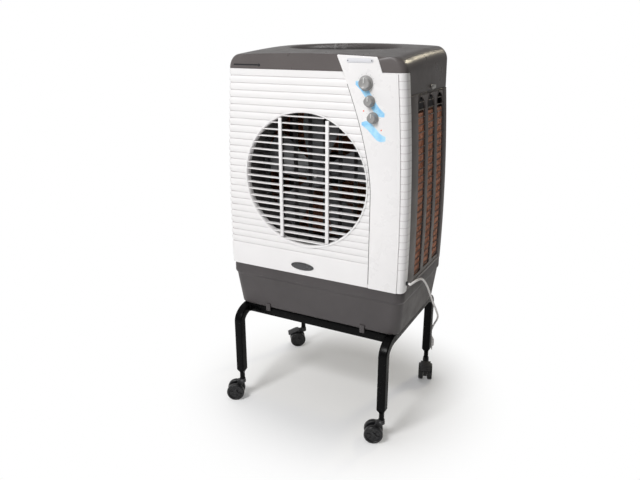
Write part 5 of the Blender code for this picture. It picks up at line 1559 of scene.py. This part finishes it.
# ---- studio -----------------------------------------------------------------------------------------
def floor_look():
    """A pale matt floor near the object that fades to plain white further away."""
    look = Shader("pale_floor")
    tone = look.mix(look.spread(look.noise(2.0, 3.0), 0.3, 0.7), (0.93, 0.93, 0.93), (0.95, 0.95, 0.95))
    look.set(Base_Color=tone, Roughness=0.8)
    from_middle = distance_to(look, look.along("X"), look.along("Y"), 0.0, 0.0)
    glow = look.node("Emission", Strength=1.0)
    blend = look.node("MixShader")
    seen = look.node("LightPath").outputs["Is Camera Ray"]
    faded = look.spread(from_middle, 0.22, 0.62, smooth=True)
    look.feed(blend.inputs["Fac"], look.math("MULTIPLY", faded, seen))
    look.links.new(look.surface.outputs["BSDF"], blend.inputs[1])
    look.links.new(glow.outputs["Emission"], blend.inputs[2])
    look.links.new(blend.outputs["Shader"], look.nodes["Material Output"].inputs["Surface"])
    return look.material


def backdrop():
    """White to the camera; as a light it is strong from the left and weak from the right."""
    world = bpy.data.worlds.new("studio")
    world.use_nodes = True
    nodes, links = world.node_tree.nodes, world.node_tree.links
    direction = nodes.new("ShaderNodeSeparateXYZ")
    links.new(nodes.new("ShaderNodeTexCoord").outputs["Generated"], direction.inputs["Vector"])
    side = nodes.new("ShaderNodeMapRange")
    side.inputs["From Min"].default_value = -0.5
    side.inputs["From Max"].default_value = 0.6
    side.inputs["To Min"].default_value = 0.52
    side.inputs["To Max"].default_value = 0.10
    links.new(direction.outputs["X"], side.inputs["Value"])
    seen = nodes.new("ShaderNodeMapRange")
    seen.inputs["To Max"].default_value = 1.0
    links.new(side.outputs["Result"], seen.inputs["To Min"])
    links.new(nodes.new("ShaderNodeLightPath").outputs["Is Camera Ray"], seen.inputs["Value"])
    nodes["Background"].inputs["Color"].default_value = (1.0, 1.0, 1.0, 1)
    links.new(seen.outputs["Result"], nodes["Background"].inputs["Strength"])
    bpy.context.scene.world = world


def studio():
    """A pale floor under soft lights: one high in front, one overhead, and a small warm one behind."""
    shape = bmesh.new()
    bmesh.ops.create_grid(shape, x_segments=1, y_segments=1, size=30.0)
    floor = from_bmesh("floor", shape)
    floor.data.materials.append(floor_look())
    backdrop()
    target = Vector((0, 0, 0.65))
    for name, place, size, power, colour in (
        ("key", (-0.5, -2.6, 2.9), 1.1, 86.0, (1.0, 1.0, 1.0)),
        ("top", (-0.1, 0.2, 3.3), 1.0, 22.0, (1.0, 1.0, 1.0)),
        ("rim", (1.1, 2.7, 2.5), 0.35, 16.0, (1.0, 0.90, 0.68)),
    ):
        light = bpy.data.lights.new(name, "AREA")
        light.energy = power
        light.size = size
        light.color = colour
        obj = bpy.data.objects.new(name, light)
        obj.location = place
        obj.rotation_euler = (target - Vector(place)).to_track_quat("-Z", "Y").to_euler()
        bpy.context.scene.collection.objects.link(obj)


CAMERA_AZIMUTH = 27.6       # degrees round from the front, towards the right
CAMERA_ELEVATION = 18.8
CAMERA_DISTANCE = 2.0689
CAMERA_TARGET = Vector((-0.0697, 0.0, 0.5468))
CAMERA_LENS = 34.22         # mm, on a sensor 36 mm wide


def camera():
    azimuth, elevation = math.radians(CAMERA_AZIMUTH), math.radians(CAMERA_ELEVATION)
    level = math.cos(elevation)
    back = Vector((math.sin(azimuth) * level, -math.cos(azimuth) * level, math.sin(elevation)))
    data = bpy.data.cameras.new("camera")
    data.lens = CAMERA_LENS
    data.sensor_width = 36.0
    obj = bpy.data.objects.new("camera", data)
    obj.location = CAMERA_TARGET + back * CAMERA_DISTANCE
    obj.rotation_euler = (-back).to_track_quat("-Z", "Y").to_euler()
    bpy.context.scene.collection.objects.link(obj)
    bpy.context.scene.camera = obj


for build in (front_panel, air_grille, control_fascia, nameplate, emblem, knobs, hood, body_frame):
    build()
for side_name in ("right", "left", "rear"):
    pad_frame(side_name)
    pad(side_name)
for build in (catches, water_tank, drain_plug, float_ball, pump_and_hose, fan_shroud, fan, fan_motor,
              louvre_frame, swing_vanes, power_cord, power_plug, stand):
    build()
for caster_name in CASTERS:
    caster_housing(caster_name)
    caster_wheels(caster_name)
for braked in ("rear_left", "rear_right"):
    brake_lever(braked)
dressed_nodes()
studio()
camera()
bpy.context.scene.view_settings.view_transform = "Standard"
